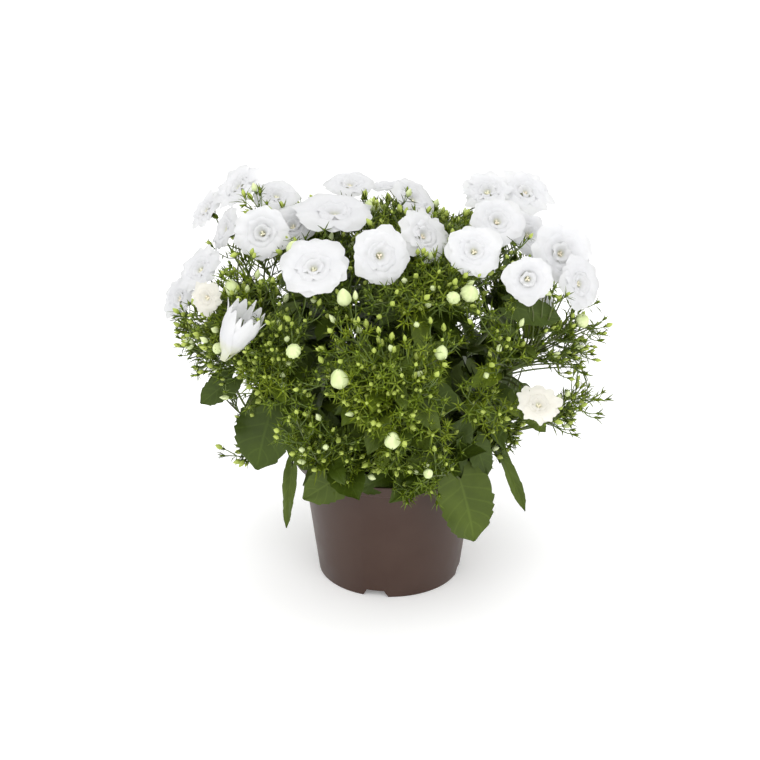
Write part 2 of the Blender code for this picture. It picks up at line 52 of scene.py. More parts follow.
# Pot
# A nursery pot of thin brown polypropylene, injection moulded in one piece. Its wall tapers to a
# foot ring with four drainage notches, and a collar stiffens the rim.
POT_HEIGHT = 83.0 * MM
COLLAR_Z = 74.5 * MM
RIM_RADIUS = 60.0 * MM
COLLAR_RADIUS = 58.6 * MM
WALL_TOP_RADIUS = 54.4 * MM
BASE_RADIUS = 43.4 * MM
POT_WALL = 1.6 * MM
POT_CORNERS = 0.7 * MM
FOOT_HEIGHT = 4.6 * MM
FLOOR_THICKNESS = 1.8 * MM
POT_SIDES, DRAIN_SIDES = 160, 24
NOTCH_AZIMUTHS = [-11.5 + 90 * k for k in range(4)]
NOTCH_LOW, NOTCH_HIGH = 18.0 * MM, 10.6 * MM
DRAIN_RADIUS, DRAIN_RING_RADIUS = 4.0 * MM, 29.0 * MM
POT_BROWN, SCUFF_BROWN = (0.041, 0.0165, 0.0088), (0.1, 0.064, 0.048)
POT_ROUGHNESS, DULLED_ROUGHNESS = 0.36, 0.46


def heading(azimuth, elevation):
    """Unit vector that points to an azimuth and elevation."""
    a, e = math.radians(azimuth), math.radians(elevation)
    return Vector((math.sin(a) * math.cos(e), -math.cos(a) * math.cos(e), math.sin(e)))


def wall_radius(z):
    return BASE_RADIUS + (WALL_TOP_RADIUS - BASE_RADIUS) * z / POT_HEIGHT


def ring_points(radius, z, sides):
    turn = np.arange(sides) * 2 * math.pi / sides
    return np.stack([radius * np.sin(turn), -radius * np.cos(turn), np.full(sides, z)], axis=1)


def ring_faces(rings, sides):
    """Quads between rings of points, each ring closed on itself."""
    low = (np.arange(rings - 1)[:, None] * sides + np.arange(sides)).ravel()
    after = (np.arange(rings - 1)[:, None] * sides + (np.arange(sides) + 1) % sides).ravel()
    return np.stack([low, after, after + sides, low + sides], axis=1)


class Batch:
    """Points, faces and surface coordinates of like things that are joined into one piece."""

    def __init__(self):
        self.points, self.faces, self.uvs, self.count = [], [], [], 0

    def add(self, points, faces, uvs=None):
        points = np.asarray(points, float)
        for some in faces if isinstance(faces, list) else [faces]:
            self.faces.append(np.asarray(some) + self.count)
        self.points.append(points)
        self.uvs.append(np.zeros((len(points), 2)) if uvs is None else np.asarray(uvs, float))
        self.count += len(points)

    def place(self, shape, turn, place, scale=1.0):
        """Adds a shape of points, faces and any uvs, turned by a matrix, scaled and moved."""
        points, *others = shape
        self.add(points * scale @ np.array(turn).T + np.array(place), *others)

    def mesh(self, name):
        corners = [face.ravel() for face in self.faces]
        sizes = np.concatenate([np.full(len(face), face.shape[1]) for face in self.faces])
        corners = np.concatenate(corners).astype(np.int32)
        made = bpy.data.meshes.new(name)
        made.vertices.add(self.count)
        made.vertices.foreach_set("co", np.concatenate(self.points).astype(np.float32).ravel())
        made.loops.add(len(corners))
        made.loops.foreach_set("vertex_index", corners)
        made.polygons.add(len(sizes))
        starts = np.concatenate([[0], np.cumsum(sizes)[:-1]]).astype(np.int32)
        made.polygons.foreach_set("loop_start", starts)
        made.update(calc_edges=True)
        layer = made.uv_layers.new(name="surface")
        layer.data.foreach_set("uv", np.concatenate(self.uvs)[corners].astype(np.float32).ravel())
        made.validate()
        return made


def linked(name, data):
    """A new object in the scene."""
    made = bpy.data.objects.new(name, data)
    bpy.context.scene.collection.objects.link(made)
    return made


def piece(name, mesh, finish, nodes, sharp=None):
    """A finished piece of the plant that stands for some of the frame's solids."""
    mesh.materials.clear()
    mesh.materials.append(finish)
    mesh.shade_smooth()
    if sharp:
        mesh.set_sharp_from_angle(angle=math.radians(sharp))
    made = linked(name, mesh)
    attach(made, "root")
    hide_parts(*nodes)


def shader_group(name, inputs, outputs):
    """An empty node group with named sockets, and its input and output nodes."""
    tree = bpy.data.node_groups.new(name, "ShaderNodeTree")
    for label, kind, value in inputs:
        tree.interface.new_socket(label, in_out="INPUT", socket_type=kind).default_value = value
    for label, kind in outputs:
        tree.interface.new_socket(label, in_out="OUTPUT", socket_type=kind)
    return tree, tree.nodes.new("NodeGroupInput"), tree.nodes.new("NodeGroupOutput")


def node(tree, kind, settings=None, **values):
    """A node with its settings, and its inputs set to values or linked from sockets."""
    made = tree.nodes.new(kind)
    for key, value in (settings or {}).items():
        setattr(made, key, value)
    for label, value in values.items():
        socket = made.inputs[int(label[1:])] if label[1:].isdigit() else made.inputs[label.replace("_", " ")]
        if isinstance(value, bpy.types.NodeSocket):
            tree.links.new(value, socket)
        else:
            socket.default_value = value
    return made


def maths(tree, operation, *values):
    """The result of an operation on values or sockets."""
    inputs = {f"_{i}": value for i, value in enumerate(values)}
    return node(tree, "ShaderNodeMath", {"operation": operation}, **inputs).outputs[0]


def ranged(tree, value, low, high, at_low=0.0, at_high=1.0):
    """Goes from one figure to another while the value goes from low to high."""
    ends = {"From_Min": low, "From_Max": high, "To_Min": at_low, "To_Max": at_high}
    return node(tree, "ShaderNodeMapRange", Value=value, **ends).outputs["Result"]


def blended(tree, share, first, second):
    """A colour between two colours, a share of the way from the first."""
    made = node(tree, "ShaderNodeMix", {"data_type": "RGBA"}, _0=share, _6=first, _7=second)
    return made.outputs[2]


# Mottle: soft uneven colour and a fine uneven surface, as on plastic, soil, bark and leaves.
mottle, given, result = shader_group(
    "mottle",
    (
        ("Base", "NodeSocketColor", (0.5, 0.5, 0.5, 1)),
        ("Deep", "NodeSocketColor", (0.2, 0.2, 0.2, 1)),
        ("Scale", "NodeSocketFloat", 100.0),
        ("Amount", "NodeSocketFloat", 0.5),
    ),
    (("Colour", "NodeSocketColor"), ("Mask", "NodeSocketFloat"), ("Height", "NodeSocketFloat")),
)
where = node(mottle, "ShaderNodeTexCoord").outputs["Object"]
patch = node(mottle, "ShaderNodeTexNoise", Vector=where, Scale=given.outputs["Scale"], Detail=3.0)
spread = ranged(mottle, patch.outputs["Fac"], 0.35, 0.65)
share = maths(mottle, "MULTIPLY", spread, given.outputs["Amount"])
colour = blended(mottle, share, given.outputs["Base"], given.outputs["Deep"])
finer = maths(mottle, "MULTIPLY", given.outputs["Scale"], 7.0)
grain = node(mottle, "ShaderNodeTexNoise", Vector=where, Scale=finer, Detail=4.0)
for label, socket in (("Colour", colour), ("Mask", spread), ("Height", grain.outputs["Fac"])):
    mottle.links.new(socket, result.inputs[label])


def finish_of(name, base, deep, scale, amount, roughness, bump, distance=0.2 * MM, gloss=0.5):
    """A material whose colour and surface come from the mottle. Gives its tree, shader and mottle."""
    made = bpy.data.materials.new(name)
    made.use_nodes = True
    tree = made.node_tree
    shader = tree.nodes["Principled BSDF"]
    shader.inputs["Roughness"].default_value = roughness
    shader.inputs["Specular IOR Level"].default_value = gloss
    look = {"Base": (*base, 1), "Deep": (*deep, 1), "Scale": scale, "Amount": amount}
    patches = node(tree, "ShaderNodeGroup", {"node_tree": mottle}, **look)
    tree.links.new(patches.outputs["Colour"], shader.inputs["Base Color"])
    relief = node(tree, "ShaderNodeBump", Strength=bump, Distance=distance, Height=patches.outputs["Height"])
    tree.links.new(relief.outputs["Normal"], shader.inputs["Normal"])
    return made, tree, shader, patches, relief


def turned(profile, sides):
    """A closed solid of (radius, height) points turned round Z. It starts and ends on the axis."""
    batch = Batch()
    points = [ring_points(radius, z, sides) for radius, z in profile[1:-1]]
    ends = np.array([(0, 0, profile[0][1]), (0, 0, profile[-1][1])])
    rings = len(points)
    k = np.arange(sides)
    after = (k + 1) % sides
    low = np.full(sides, rings * sides)
    last = (rings - 1) * sides
    faces = [ring_faces(rings, sides), np.stack([low, after, k], axis=1)]
    faces.append(np.stack([low + 1, last + k, last + after], axis=1))
    batch.add(np.concatenate(points + [ends]), faces)
    return batch


def bezier(start, control, end, steps):
    """Points on a quadratic curve, both ends included."""
    shares = [i / steps for i in range(steps + 1)]
    return [start * (1 - t) ** 2 + control * 2 * t * (1 - t) + end * t * t for t in shares]


def round_corner(profile, radius):
    """The profile with every corner between its two ends rounded."""
    made = list(profile[:1])
    for before, corner, after in zip(profile, profile[1:], profile[2:]):
        a, b, c = (Vector(p) for p in (before, corner, after))
        reach = min(radius, (a - b).length * 0.45, (c - b).length * 0.45)
        start, end = b + (a - b).normalized() * reach, b + (c - b).normalized() * reach
        made += [tuple(point) for point in bezier(start, b, end, 4)]
    return made + [profile[-1]]


def cut_away(mesh, cutters):
    """The mesh with each cutter's mesh cut from it."""
    body = linked("blank", mesh)
    tools = [linked("cutter", cutter) for cutter in cutters]
    for tool in tools:
        cut = body.modifiers.new("cut", "BOOLEAN")
        cut.object = tool
        cut.solver = "EXACT"
    bpy.context.view_layer.update()
    made = bpy.data.meshes.new_from_object(body.evaluated_get(bpy.context.evaluated_depsgraph_get()))
    for obj in [body, *tools]:
        bpy.data.objects.remove(obj)
    return made


def block(outline, direction, near, far):
    """A block with an outline of (across, up) points, from one distance to another along a direction."""
    across = direction.cross(Z_UP)
    points = [direction * d + across * x + Z_UP * z for d in (near, far) for x, z in outline]
    bm = bmesh.new()
    corners = [bm.verts.new(point) for point in points]
    n = len(outline)
    for k in range(n):
        bm.faces.new((corners[k], corners[(k + 1) % n], corners[n + (k + 1) % n], corners[n + k]))
    bm.faces.new(corners[:n])
    bm.faces.new(corners[n:])
    bmesh.ops.recalc_face_normals(bm, faces=bm.faces)
    mesh = bpy.data.meshes.new("block")
    bm.to_mesh(mesh)
    bm.free()
    return mesh


pot_floor = FOOT_HEIGHT + FLOOR_THICKNESS
pot_profile = (
    (0, FOOT_HEIGHT),
    (BASE_RADIUS - 2 * POT_WALL, FOOT_HEIGHT),
    (BASE_RADIUS - 2 * POT_WALL, 0),
    (BASE_RADIUS, 0),
    (wall_radius(COLLAR_Z), COLLAR_Z),
    (COLLAR_RADIUS, COLLAR_Z + POT_WALL),
    (RIM_RADIUS, POT_HEIGHT),
    (RIM_RADIUS - POT_WALL, POT_HEIGHT),
    (COLLAR_RADIUS - POT_WALL, COLLAR_Z + 2 * POT_WALL),
    (wall_radius(COLLAR_Z) - POT_WALL, COLLAR_Z),
    (wall_radius(pot_floor) - POT_WALL, pot_floor),
    (0, pot_floor),
)
notch_outline = (
    (-NOTCH_LOW / 2, -2 * MM),
    (NOTCH_LOW / 2, -2 * MM),
    (NOTCH_HIGH / 2, FOOT_HEIGHT - 0.1 * MM),
    (-NOTCH_HIGH / 2, FOOT_HEIGHT - 0.1 * MM),
)
pot_cutters = []
for azimuth in NOTCH_AZIMUTHS:
    outward = heading(azimuth, 0)
    pot_cutters.append(block(notch_outline, outward, BASE_RADIUS - 8 * MM, BASE_RADIUS + 6 * MM))
    drain = turned(((0, 2 * MM), (DRAIN_RADIUS, 2 * MM), (DRAIN_RADIUS, 9 * MM), (0, 9 * MM)), DRAIN_SIDES)
    drain.points[0] += np.array(outward * DRAIN_RING_RADIUS)
    pot_cutters.append(drain.mesh("drain"))
pot_mesh = cut_away(turned(round_corner(pot_profile, POT_CORNERS), POT_SIDES).mesh("pot"), pot_cutters)
pot_plastic, tree, shader, patches, _ = finish_of(
    "pot_plastic", POT_BROWN, SCUFF_BROWN, 45.0, 0.12, POT_ROUGHNESS, 0.12, 0.05 * MM, gloss=0.4
)
# Satin plastic is a little duller in patches where it has been handled.
dulled = ranged(tree, patches.outputs["Mask"], 0.0, 1.0, POT_ROUGHNESS, DULLED_ROUGHNESS)
tree.links.new(dulled, shader.inputs["Roughness"])
piece("pot_shell", pot_mesh, pot_plastic, ["pot"], sharp=35)


# Soil
# Dark peat with bits of bark, filled to just under the rim. It is loose and crumbly, and a little
# higher round the stem.
SOIL_BOTTOM_Z, SOIL_EDGE_Z, SOIL_CENTRE_Z = 7.2 * MM, 75.0 * MM, 77.0 * MM
SOIL_GAP = 0.4 * MM
SOIL_SIDES, SOIL_RINGS = 120, 34
SOIL_BROWN, SOIL_BLACK = (0.03, 0.02, 0.012), (0.008, 0.006, 0.004)
CRUMBS, CRUMB_SIZES = 900, (0.6, 1.9)
soil_rng = np.random.default_rng(3)
soil_edge = wall_radius(COLLAR_Z) - POT_WALL - SOIL_GAP


def soil_height(radius):
    return SOIL_CENTRE_Z + (SOIL_EDGE_Z - SOIL_CENTRE_Z) * radius / soil_edge


soil_profile = [(0, SOIL_BOTTOM_Z)]
soil_profile += [(wall_radius(z) - POT_WALL - SOIL_GAP, z) for z in (SOIL_BOTTOM_Z, 40 * MM)]
soil_profile += [(radius, soil_height(radius)) for radius in np.linspace(soil_edge, 2 * MM, SOIL_RINGS)]
soil_profile.append((0, soil_height(0)))
soil = turned(soil_profile, SOIL_SIDES)
crust = soil.points[0][SOIL_SIDES * 3:-2]
crust[:, 2] += soil_rng.uniform(-0.5, 0.7, len(crust)) * MM


def crumb(rng, size):
    """An uneven crumb with eight faces."""
    corners = np.array([(1, 0, 0), (-1, 0, 0), (0, 1, 0), (0, -1, 0), (0, 0, 1), (0, 0, -1)], float)
    corners *= rng.uniform(0.5, 1.0, (6, 1)) * size
    turn = Matrix.Rotation(rng.uniform(0, 6), 3, "X") @ Matrix.Rotation(rng.uniform(0, 6), 3, "Z")
    faces = [(0, 2, 4), (2, 1, 4), (1, 3, 4), (3, 0, 4), (2, 0, 5), (1, 2, 5), (3, 1, 5), (0, 3, 5)]
    return corners @ np.array(turn).T, np.array(faces)


for _ in range(CRUMBS):
    size = soil_rng.uniform(*CRUMB_SIZES) * MM
    radius = (soil_edge - 2 * MM) * math.sqrt(soil_rng.uniform(0.05, 1))
    angle = soil_rng.uniform(0, 2 * math.pi)
    corners, faces = crumb(soil_rng, size)
    place = (radius * math.cos(angle), radius * math.sin(angle), soil_height(radius) + size * 0.3)
    soil.add(corners + np.array(place), faces)
peat, *_ = finish_of("peat", SOIL_BROWN, SOIL_BLACK, 260.0, 0.9, 0.95, 0.8, 0.6 * MM)
piece("peat_soil", soil.mesh("peat_soil"), peat, ["soil"], sharp=40)


# Main stem and boughs
# A short woody stock that stands on the soil, and one thin limb from it to each mass of foliage.
# The bark is thin and brownish green, with fine ridges along it and a swelling at each old leaf.
CLEARANCE = 0.3 * MM
STEM_FOOT_RADIUS = 12.0 * MM
KNOB_RADIUS = 8.5 * MM
KNOB = Vector((0, 0, 88.3 * MM))
ENTRY_RADIUS = 36.0 * MM
BOUGH_RADII = (1.8 * MM, 1.4 * MM)
BOUGH_SIDES, STOCK_SIDES, STOCK_RIDGES = 12, 64, 11
BARK_GREEN, BARK_BROWN = (0.1, 0.115, 0.03), (0.07, 0.045, 0.02)
# The lower, the middle and the upper ring of limbs: number, elevation and azimuth of the first
RINGS = ((7, 9.0, -26.0), (6, 38.0, 0.0), (3, 69.0, 30.0))


def frames_along(points):
    """Three unit vectors at each point: along the line, and two across it that don't twist."""
    frames = []
    side = (points[1] - points[0]).normalized().orthogonal()
    for i in range(len(points)):
        along = (points[min(i + 1, len(points) - 1)] - points[max(i - 1, 0)]).normalized()
        side = (side - along * side.dot(along)).normalized()
        frames.append((along, side, along.cross(side)))
    return frames


def sideways(axes, turn):
    """The direction across a line at a turn round it."""
    _, side, other = axes
    return side * math.cos(turn) + other * math.sin(turn)


def capped_rings(rings, sides):
    """Faces of rings of points that one more point closes at the last ring."""
    last = (rings - 1) * sides
    k = np.arange(sides)
    cap = np.stack([last + k, last + (k + 1) % sides, np.full(sides, last + sides)], axis=1)
    return [ring_faces(rings, sides), cap]


def tube(points, radii, sides, ridge=0.0):
    """A tube along points, closed at its far end. Every second line along it may stand out as a ridge."""
    places = []
    for point, radius, axes in zip(points, radii, frames_along(points)):
        for k in range(sides):
            out = radius * (1 + ridge * (-1) ** k)
            places.append(point + sideways(axes, 2 * math.pi * k / sides) * out)
    places.append(points[-1] + (points[-1] - points[-2]).normalized() * radii[-1] * 0.5)
    return np.array(places), capped_rings(len(points), sides)


def even_radii(ends, count):
    return [ends[0] + (ends[1] - ends[0]) * i / (count - 1) for i in range(count)]


limbs = Batch()
foot_z = SOIL_CENTRE_Z + CLEARANCE
stock_profile = [
    (STEM_FOOT_RADIUS, foot_z),
    (STEM_FOOT_RADIUS * 0.78, foot_z + 1.5 * MM),
    (KNOB_RADIUS * 0.82, foot_z + 4.5 * MM),
]
for elevation in range(-25, 90, 10):
    e = math.radians(elevation)
    stock_profile.append((KNOB_RADIUS * math.cos(e), KNOB.z + KNOB_RADIUS * math.sin(e)))
stock_rng = np.random.default_rng(5)
stock_turns = np.arange(STOCK_SIDES) * 2 * math.pi / STOCK_SIDES
stock_ridges = 1 + 0.05 * np.sin(stock_turns * STOCK_RIDGES) + stock_rng.uniform(-0.02, 0.02, STOCK_SIDES)
stock_rings = []
for radius, z in stock_profile:
    ring = ring_points(radius, z, STOCK_SIDES)
    ring[:, :2] *= (stock_ridges + stock_rng.uniform(-0.015, 0.015, STOCK_SIDES))[:, None]
    stock_rings.append(ring)
limbs.add(np.concatenate(stock_rings), ring_faces(len(stock_rings), STOCK_SIDES))
limb_aims = [(first + 360 / count * k, elevation) for count, elevation, first in RINGS for k in range(count)]
for azimuth, elevation in limb_aims:
    outward = heading(azimuth, elevation)
    leave = heading(azimuth, elevation + (90 - elevation) * 0.12)
    end = KNOB + outward * ENTRY_RADIUS
    line = bezier(KNOB + leave * (KNOB_RADIUS - 1.0 * MM), end - outward * 15 * MM, end, 16)
    radii = [r * (1.18 if i % 5 == 3 else 1.0) for i, r in enumerate(even_radii(BOUGH_RADII, len(line)))]
    radii[0] *= 1.5
    limbs.add(*tube(line, radii, BOUGH_SIDES, ridge=0.05))
bark, *_ = finish_of("stem_bark", BARK_GREEN, BARK_BROWN, 300.0, 0.7, 0.6, 0.5, 0.3 * MM)
limb_nodes = ["main_stem"] + [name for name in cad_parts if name.startswith("bough_")]
piece("stock_and_boughs", limbs.mesh("limbs"), bark, limb_nodes, sharp=50)


# Masses of foliage
# Each mass is one leafy stem that goes on from its bough. Twigs leave it at a slant, and each twig
# forks into fine flower stalks, all green, round and a little springy.
CROWN_CENTRE = Vector((0, 0, 145.0 * MM))
CROWN_RADIUS = 128.0 * MM
CROWN_UP, CROWN_DOWN = 96.0 * MM, 74.0 * MM
SQUARENESS_UP, SQUARENESS_DOWN = 2.6, 2.0
REACH_LEFT, REACH_RIGHT, REACH_FRONT = 139.0 * MM, 135.5 * MM, 131.0 * MM
HANGING_LIMIT_Z = 34.0 * MM
STEM_SHARE, STEM_SAG = 0.74, 0.02
MASS_STEM_RADII, STEM_SIDES = (1.4 * MM, 0.9 * MM), 8
TWIG_RADII, TWIG_SIDES = (0.7 * MM, 0.42 * MM), 5
STALK_RADII, STALK_SIDES = (0.4 * MM, 0.28 * MM), 4
LEAF_STEM_RADII, LEAF_STEM_SIDES = (0.9 * MM, 0.6 * MM), 6
SPRAYS, SPRAY_LOWEST_SINE, SPRAY_REACH = 150, -0.62, (0.88, 1.0)
EDGE_MARGIN = 6 * MM
# Loose shoots point out and a little down, and front shoots out and up: the rise of their aim in mm
LOOSE_AIM, FRONT_AIM = -20, 40
SMALL_BUD = (4.0 * MM, 7.0 * MM)
SEED = 7
GOLDEN_TURN = math.pi * (3 - math.sqrt(5))
SKIRT_RADIUS, SKIRT_Z, SKIRT_SLOPE = 62.0 * MM, 80.0 * MM, 0.95
CROWN_TOP, CROWN_TOP_SLOPE = 245.0 * MM, 0.45
FLANK_REACH, CROWN_LEAN = 95.0 * MM, 11.0 * MM
# Shoots that reach the crown's widest places: how far out, azimuth and height
EDGE_SPRAYS = (
    (REACH_LEFT, -90, 158 * MM),
    (REACH_RIGHT, 90, 112 * MM),
    (REACH_FRONT, 0, 150 * MM),
    (REACH_FRONT, 180, 152 * MM),
)
# Loose shoots at the crown's edges and under it: the place of each tip in mm (right, back, up)
LOOSE_SPRAYS = (
    (124, -24, 168), (126, -18, 154), (-118, -34, 150), (-130, -24, 166), (-126, -30, 176),
    (-122, -34, 158), (7, -10, 235), (3, -14, 230), (-93, -40, 221), (-86, -50, 209),
    (-73, -55, 211), (-98, -45, 214), (74, -62, 235), (84, 2, 230), (92, -60, 206),
    (-132, -20, 174), (-121, -30, 165), (-125, -20, 147), (-113, -30, 143), (-98, -60, 170),
    (-108, -50, 180), (-94, -50, 152), (-116, -44, 172), (-105, -50, 160), (-122, -30, 156),
    (-112, -20, 186), (-76, -80, 188), (-66, -92, 180), (76, -84, 150), (90, -88, 138),
    (-127, -26, 166), (-121, -36, 182), (-123, -28, 154), (-118, -36, 148), (-116, -24, 194),
    (-108, -40, 190), (-110, -44, 144), (122, -20, 186), (124, -20, 168), (119, -30, 158),
    (115, -35, 149), (112, -36, 156), (118, -26, 163), (104, -50, 152), (110, -34, 170),
    (106, -46, 168), (112, -40, 176), (116, -26, 144), (108, -44, 162), (108, -40, 186),
    (99, -60, 175), (90, -70, 196), (120, -22, 123), (114, -30, 128), (111, -32, 118),
    (99, -60, 203), (-92, 0, 236), (-86, -4, 233), (-38, -84, 114), (-22, -86, 104),
    (8, -88, 88), (20, -94, 98), (-96, -20, 79),
)
# Shoots that fill the front of the crown: the place of each tip in mm (right, back, up)
FRONT_SPRAYS = (
    (-50, -91, 204), (-33, -106, 196), (-11, -93, 214), (-73, -88, 188), (-67, -99, 171),
    (-56, -105, 160), (5, -102, 117), (33, -112, 143), (61, -94, 194), (-48, -98, 128),
)
# The photo looks down at this angle.
VIEW_ELEVATION = 25.0
# Gaps that show sky along the camera's line: right and up in mm, halfway back, and radius in mm
SKY_GAPS = (
    (71, 124, 9), (82, 126, 10), (94, 126, 10), (98, 167, 6), (95, 149, 7), (79, 155, 6),
    (110, 157, 5), (84, 168, 4), (88, 138, 5), (94, 85, 12), (82, 92, 6), (-102, 98, 12),
    (-92, 107, 6), (-84, 113, 5), (-89, 121, 6), (-92, 132, 5), (-97, 143, 5), (-62, 69, 8),
    (-55, 71, 6), (-71, 200, 7), (-84, 198, 6), (-95, 211, 7), (38, 246, 12), (50, 245, 9),
)
# Large buds: place of the tip in mm (right, back, up) and width in mm
BALLOON_BUDS = (
    (-27, -90, 219, 9),
    (-56, -102, 193, 9),
    (-30, -118, 180, 11),
    (1, -125, 144, 10),
    (46, -79, 220, 11),
    (36, -86, 219, 8),
    (-11, 12, 239, 10),
    (115, -40, 185, 9),
    (-57, -40, 232, 10),
    (-94, -50, 208, 9),
    (-101, -68, 179, 7),
    (29, -112, 194, 8),
    (-120, -40, 169, 7),
    (22, -114, 118, 6),
    (-50, 110, 176, 11),
    (60, 112, 160, 11),
    (-104, 84, 150, 10),
    (110, 84, 128, 10),
)
# Open flowers: place in mm (right, back, up), azimuth and elevation that it faces, width in mm
FLOWERS = (
    (-91, 30, 239, 300, 50, 34),
    (-67, 30, 233, 30, 72, 30),
    (-111, 40, 220, 290, 42, 26),
    (-98, 8, 220, 288, 26, 30),
    (-74, -24, 230, -12, 34, 33),
    (-32, -8, 238, 10, 80, 46),
    (-57, -6, 228, -15, 56, 34),
    (-43, -74, 230, -6, 58, 41),
    (-5, -69, 234, 22, 24, 36),
    (-24, 50, 233, 0, 80, 32),
    (15, 18, 235, 64, 46, 34),
    (20, -40, 235, 46, 40, 34),
    (47, -61, 234, 4, 42, 33),
    (62, -22, 237, 20, 48, 33),
    (58, 38, 233, -10, 64, 32),
    (82, 45, 230, 30, 60, 33),
    (82, -6, 222, 44, 44, 33),
    (77, -73, 221, 8, 14, 30),
    (99, -28, 219, 20, 30, 38),
    (110, -38, 204, 48, 20, 32),
    (84, -91, 153, 20, 56, 26),
    (-79, -82, 207, 76, 64, 23),
    (-112, -12, 203, 305, 46, 31),
    (-126, 0, 179, 302, 30, 28),
    (-105, -50, 200, -25, 14, 20),
    (-40, 98, 194, 190, 40, 37),
    (4, 84, 219, 185, 78, 36),
    (40, 98, 187, 172, 52, 36),
    (-78, 96, 186, 205, 28, 36),
    (80, 94, 190, 145, 30, 36),
    (-88, 92, 138, 218, 14, 34),
    (112, 60, 182, 125, 26, 35),
    (16, 120, 168, 180, 12, 34),
    (-34, 116, 140, 195, 4, 30),
    (94, 82, 146, 126, 10, 30),
)
# Broad leaves: place of the leaf's base, azimuth and elevation that it points to, length and width in mm
BROAD_LEAVES = (
    (-69, -30, 123, -33, -51, 37, 37),
    (-24, -52, 91, -64, -24, 30, 24),
    (-93, -25, 138, -71, -33, 23, 17),
    (-58, -45, 89, -42, -79, 38, 8),
    (0, -50, 88, -45, -8, 22, 16),
    (41, -58, 88, 50, -67, 38, 33),
    (33, -50, 109, 33, -63, 27, 20),
    (67, -35, 92, 62, -62, 36, 8),
    (50, -50, 109, 50, -64, 22, 15),
    (81, -40, 122, 59, -35, 14, 10),
    (70, 50, 100, 130, -50, 34, 28),
    (-62, 48, 94, 222, -58, 28, 24),
    (46, 66, 88, 150, -58, 40, 34),
    (-20, 78, 88, 186, -56, 38, 32),
    (58, 80, 100, 150, -40, 34, 28),
    (-60, 78, 116, 220, -24, 34, 28),
    (69, -52, 196, 82, -14, 28, 16),
)
CUP_DEPTH_SHARE = 0.34
# A flower up to this width, in mm, has its cup further behind its mouth, in radii.
SMALL_FLOWER_WIDTH, LONG_BELL_DEPTH = 22, 2.8


def crown_reach(direction):
    """Distance from the crown's centre to its surface in a direction."""
    height, power = (CROWN_UP, SQUARENESS_UP) if direction.z > 0 else (CROWN_DOWN, SQUARENESS_DOWN)
    parts = (direction.xy.length / CROWN_RADIUS, abs(direction.z) / height)
    return sum(part ** power for part in parts) ** (-1 / power)


def inside_crown(point, share=1.0):
    offset = point - CROWN_CENTRE
    return offset.length < crown_reach(offset.normalized()) * share


def clear_of_pot(point, margin=1.0 * MM):
    """Whether a point is outside the pot and above the soil."""
    if point.z > POT_HEIGHT + margin:
        return True
    if point.z > SOIL_CENTRE_Z + margin and point.xy.length < COLLAR_RADIUS - POT_WALL - margin:
        return True
    outer = RIM_RADIUS if point.z > COLLAR_Z - margin else wall_radius(point.z)
    return point.xy.length > outer + margin and point.z > HANGING_LIMIT_Z


def skirt_radius(z):
    """How far out the shoots reach at a height: the crown narrows to the pot."""
    return SKIRT_RADIUS + (z - SKIRT_Z) * SKIRT_SLOPE


def off_middle(point):
    """How far to either side a point is. The crown stands a little left of the pot."""
    return abs(point.x + CROWN_LEAN)


def crown_top(y):
    """The height that the shoots reach. It falls a little towards the back."""
    return CROWN_TOP - CROWN_TOP_SLOPE * max(0, y)


class Mass:
    """One mass of foliage: its stem, and the places that draw the nearest shoots and leaves to it."""

    def __init__(self, direction):
        reach = ENTRY_RADIUS
        while inside_crown(KNOB + direction * reach):
            reach += 1 * MM
        entry = KNOB + direction * (ENTRY_RADIUS + CLEARANCE)
        tip = KNOB + direction * (reach * STEM_SHARE)
        self.stem = bezier(entry, (entry + tip) / 2 - Z_UP * STEM_SAG * reach, tip, 4)
        self.seeds = list(self.stem) + [KNOB + direction * (reach * 0.9)]

    def fine_line(self):
        """The stem as a line of more points."""
        first, middle, last = self.stem[0], self.stem[2], self.stem[-1]
        return bezier(first, middle * 2 - (first + last) / 2, last, 12)


masses = [Mass(heading(*aim)) for aim in limb_aims]
lower_masses = masses[:RINGS[0][0]]


def nearest_mass(point, among):
    return min(among, key=lambda m: min((point - s).length for s in m.seeds))


def point_along(line, share):
    """The point at a share of a line's length, and the number of the stretch that it is on."""
    place = share * (len(line) - 1)
    k = min(int(place), len(line) - 2)
    return line[k].lerp(line[k + 1], place - k), k


def twig_line(mass, tip, lift, steps):
    """Points of a twig that leaves the mass's stem at a slant and ends at the tip."""
    first, last = mass.stem[0], mass.stem[-1]
    along = (last - first).normalized()
    ahead = (tip - first).dot(along)
    aside = ((tip - first) - along * ahead).length
    share = 0.06 + 0.9 / (1 + math.exp(2 - 4 * (ahead - aside * 0.9) / (last - first).length))
    # A tip that lies further ahead has its foot further along the stem.
    foot, _ = point_along(mass.stem, share)
    control = foot + along * (tip - foot).length * 0.4 + Z_UP * lift
    return bezier(foot, control, tip, steps)


stems, stalks = Batch(), Batch()
for mass in masses:
    line = mass.fine_line()
    radii = [r * (1.15 if i % 3 == 1 else 1.0) for i, r in enumerate(even_radii(MASS_STEM_RADII, len(line)))]
    stems.add(*tube(line, radii, STEM_SIDES, ridge=0.05))

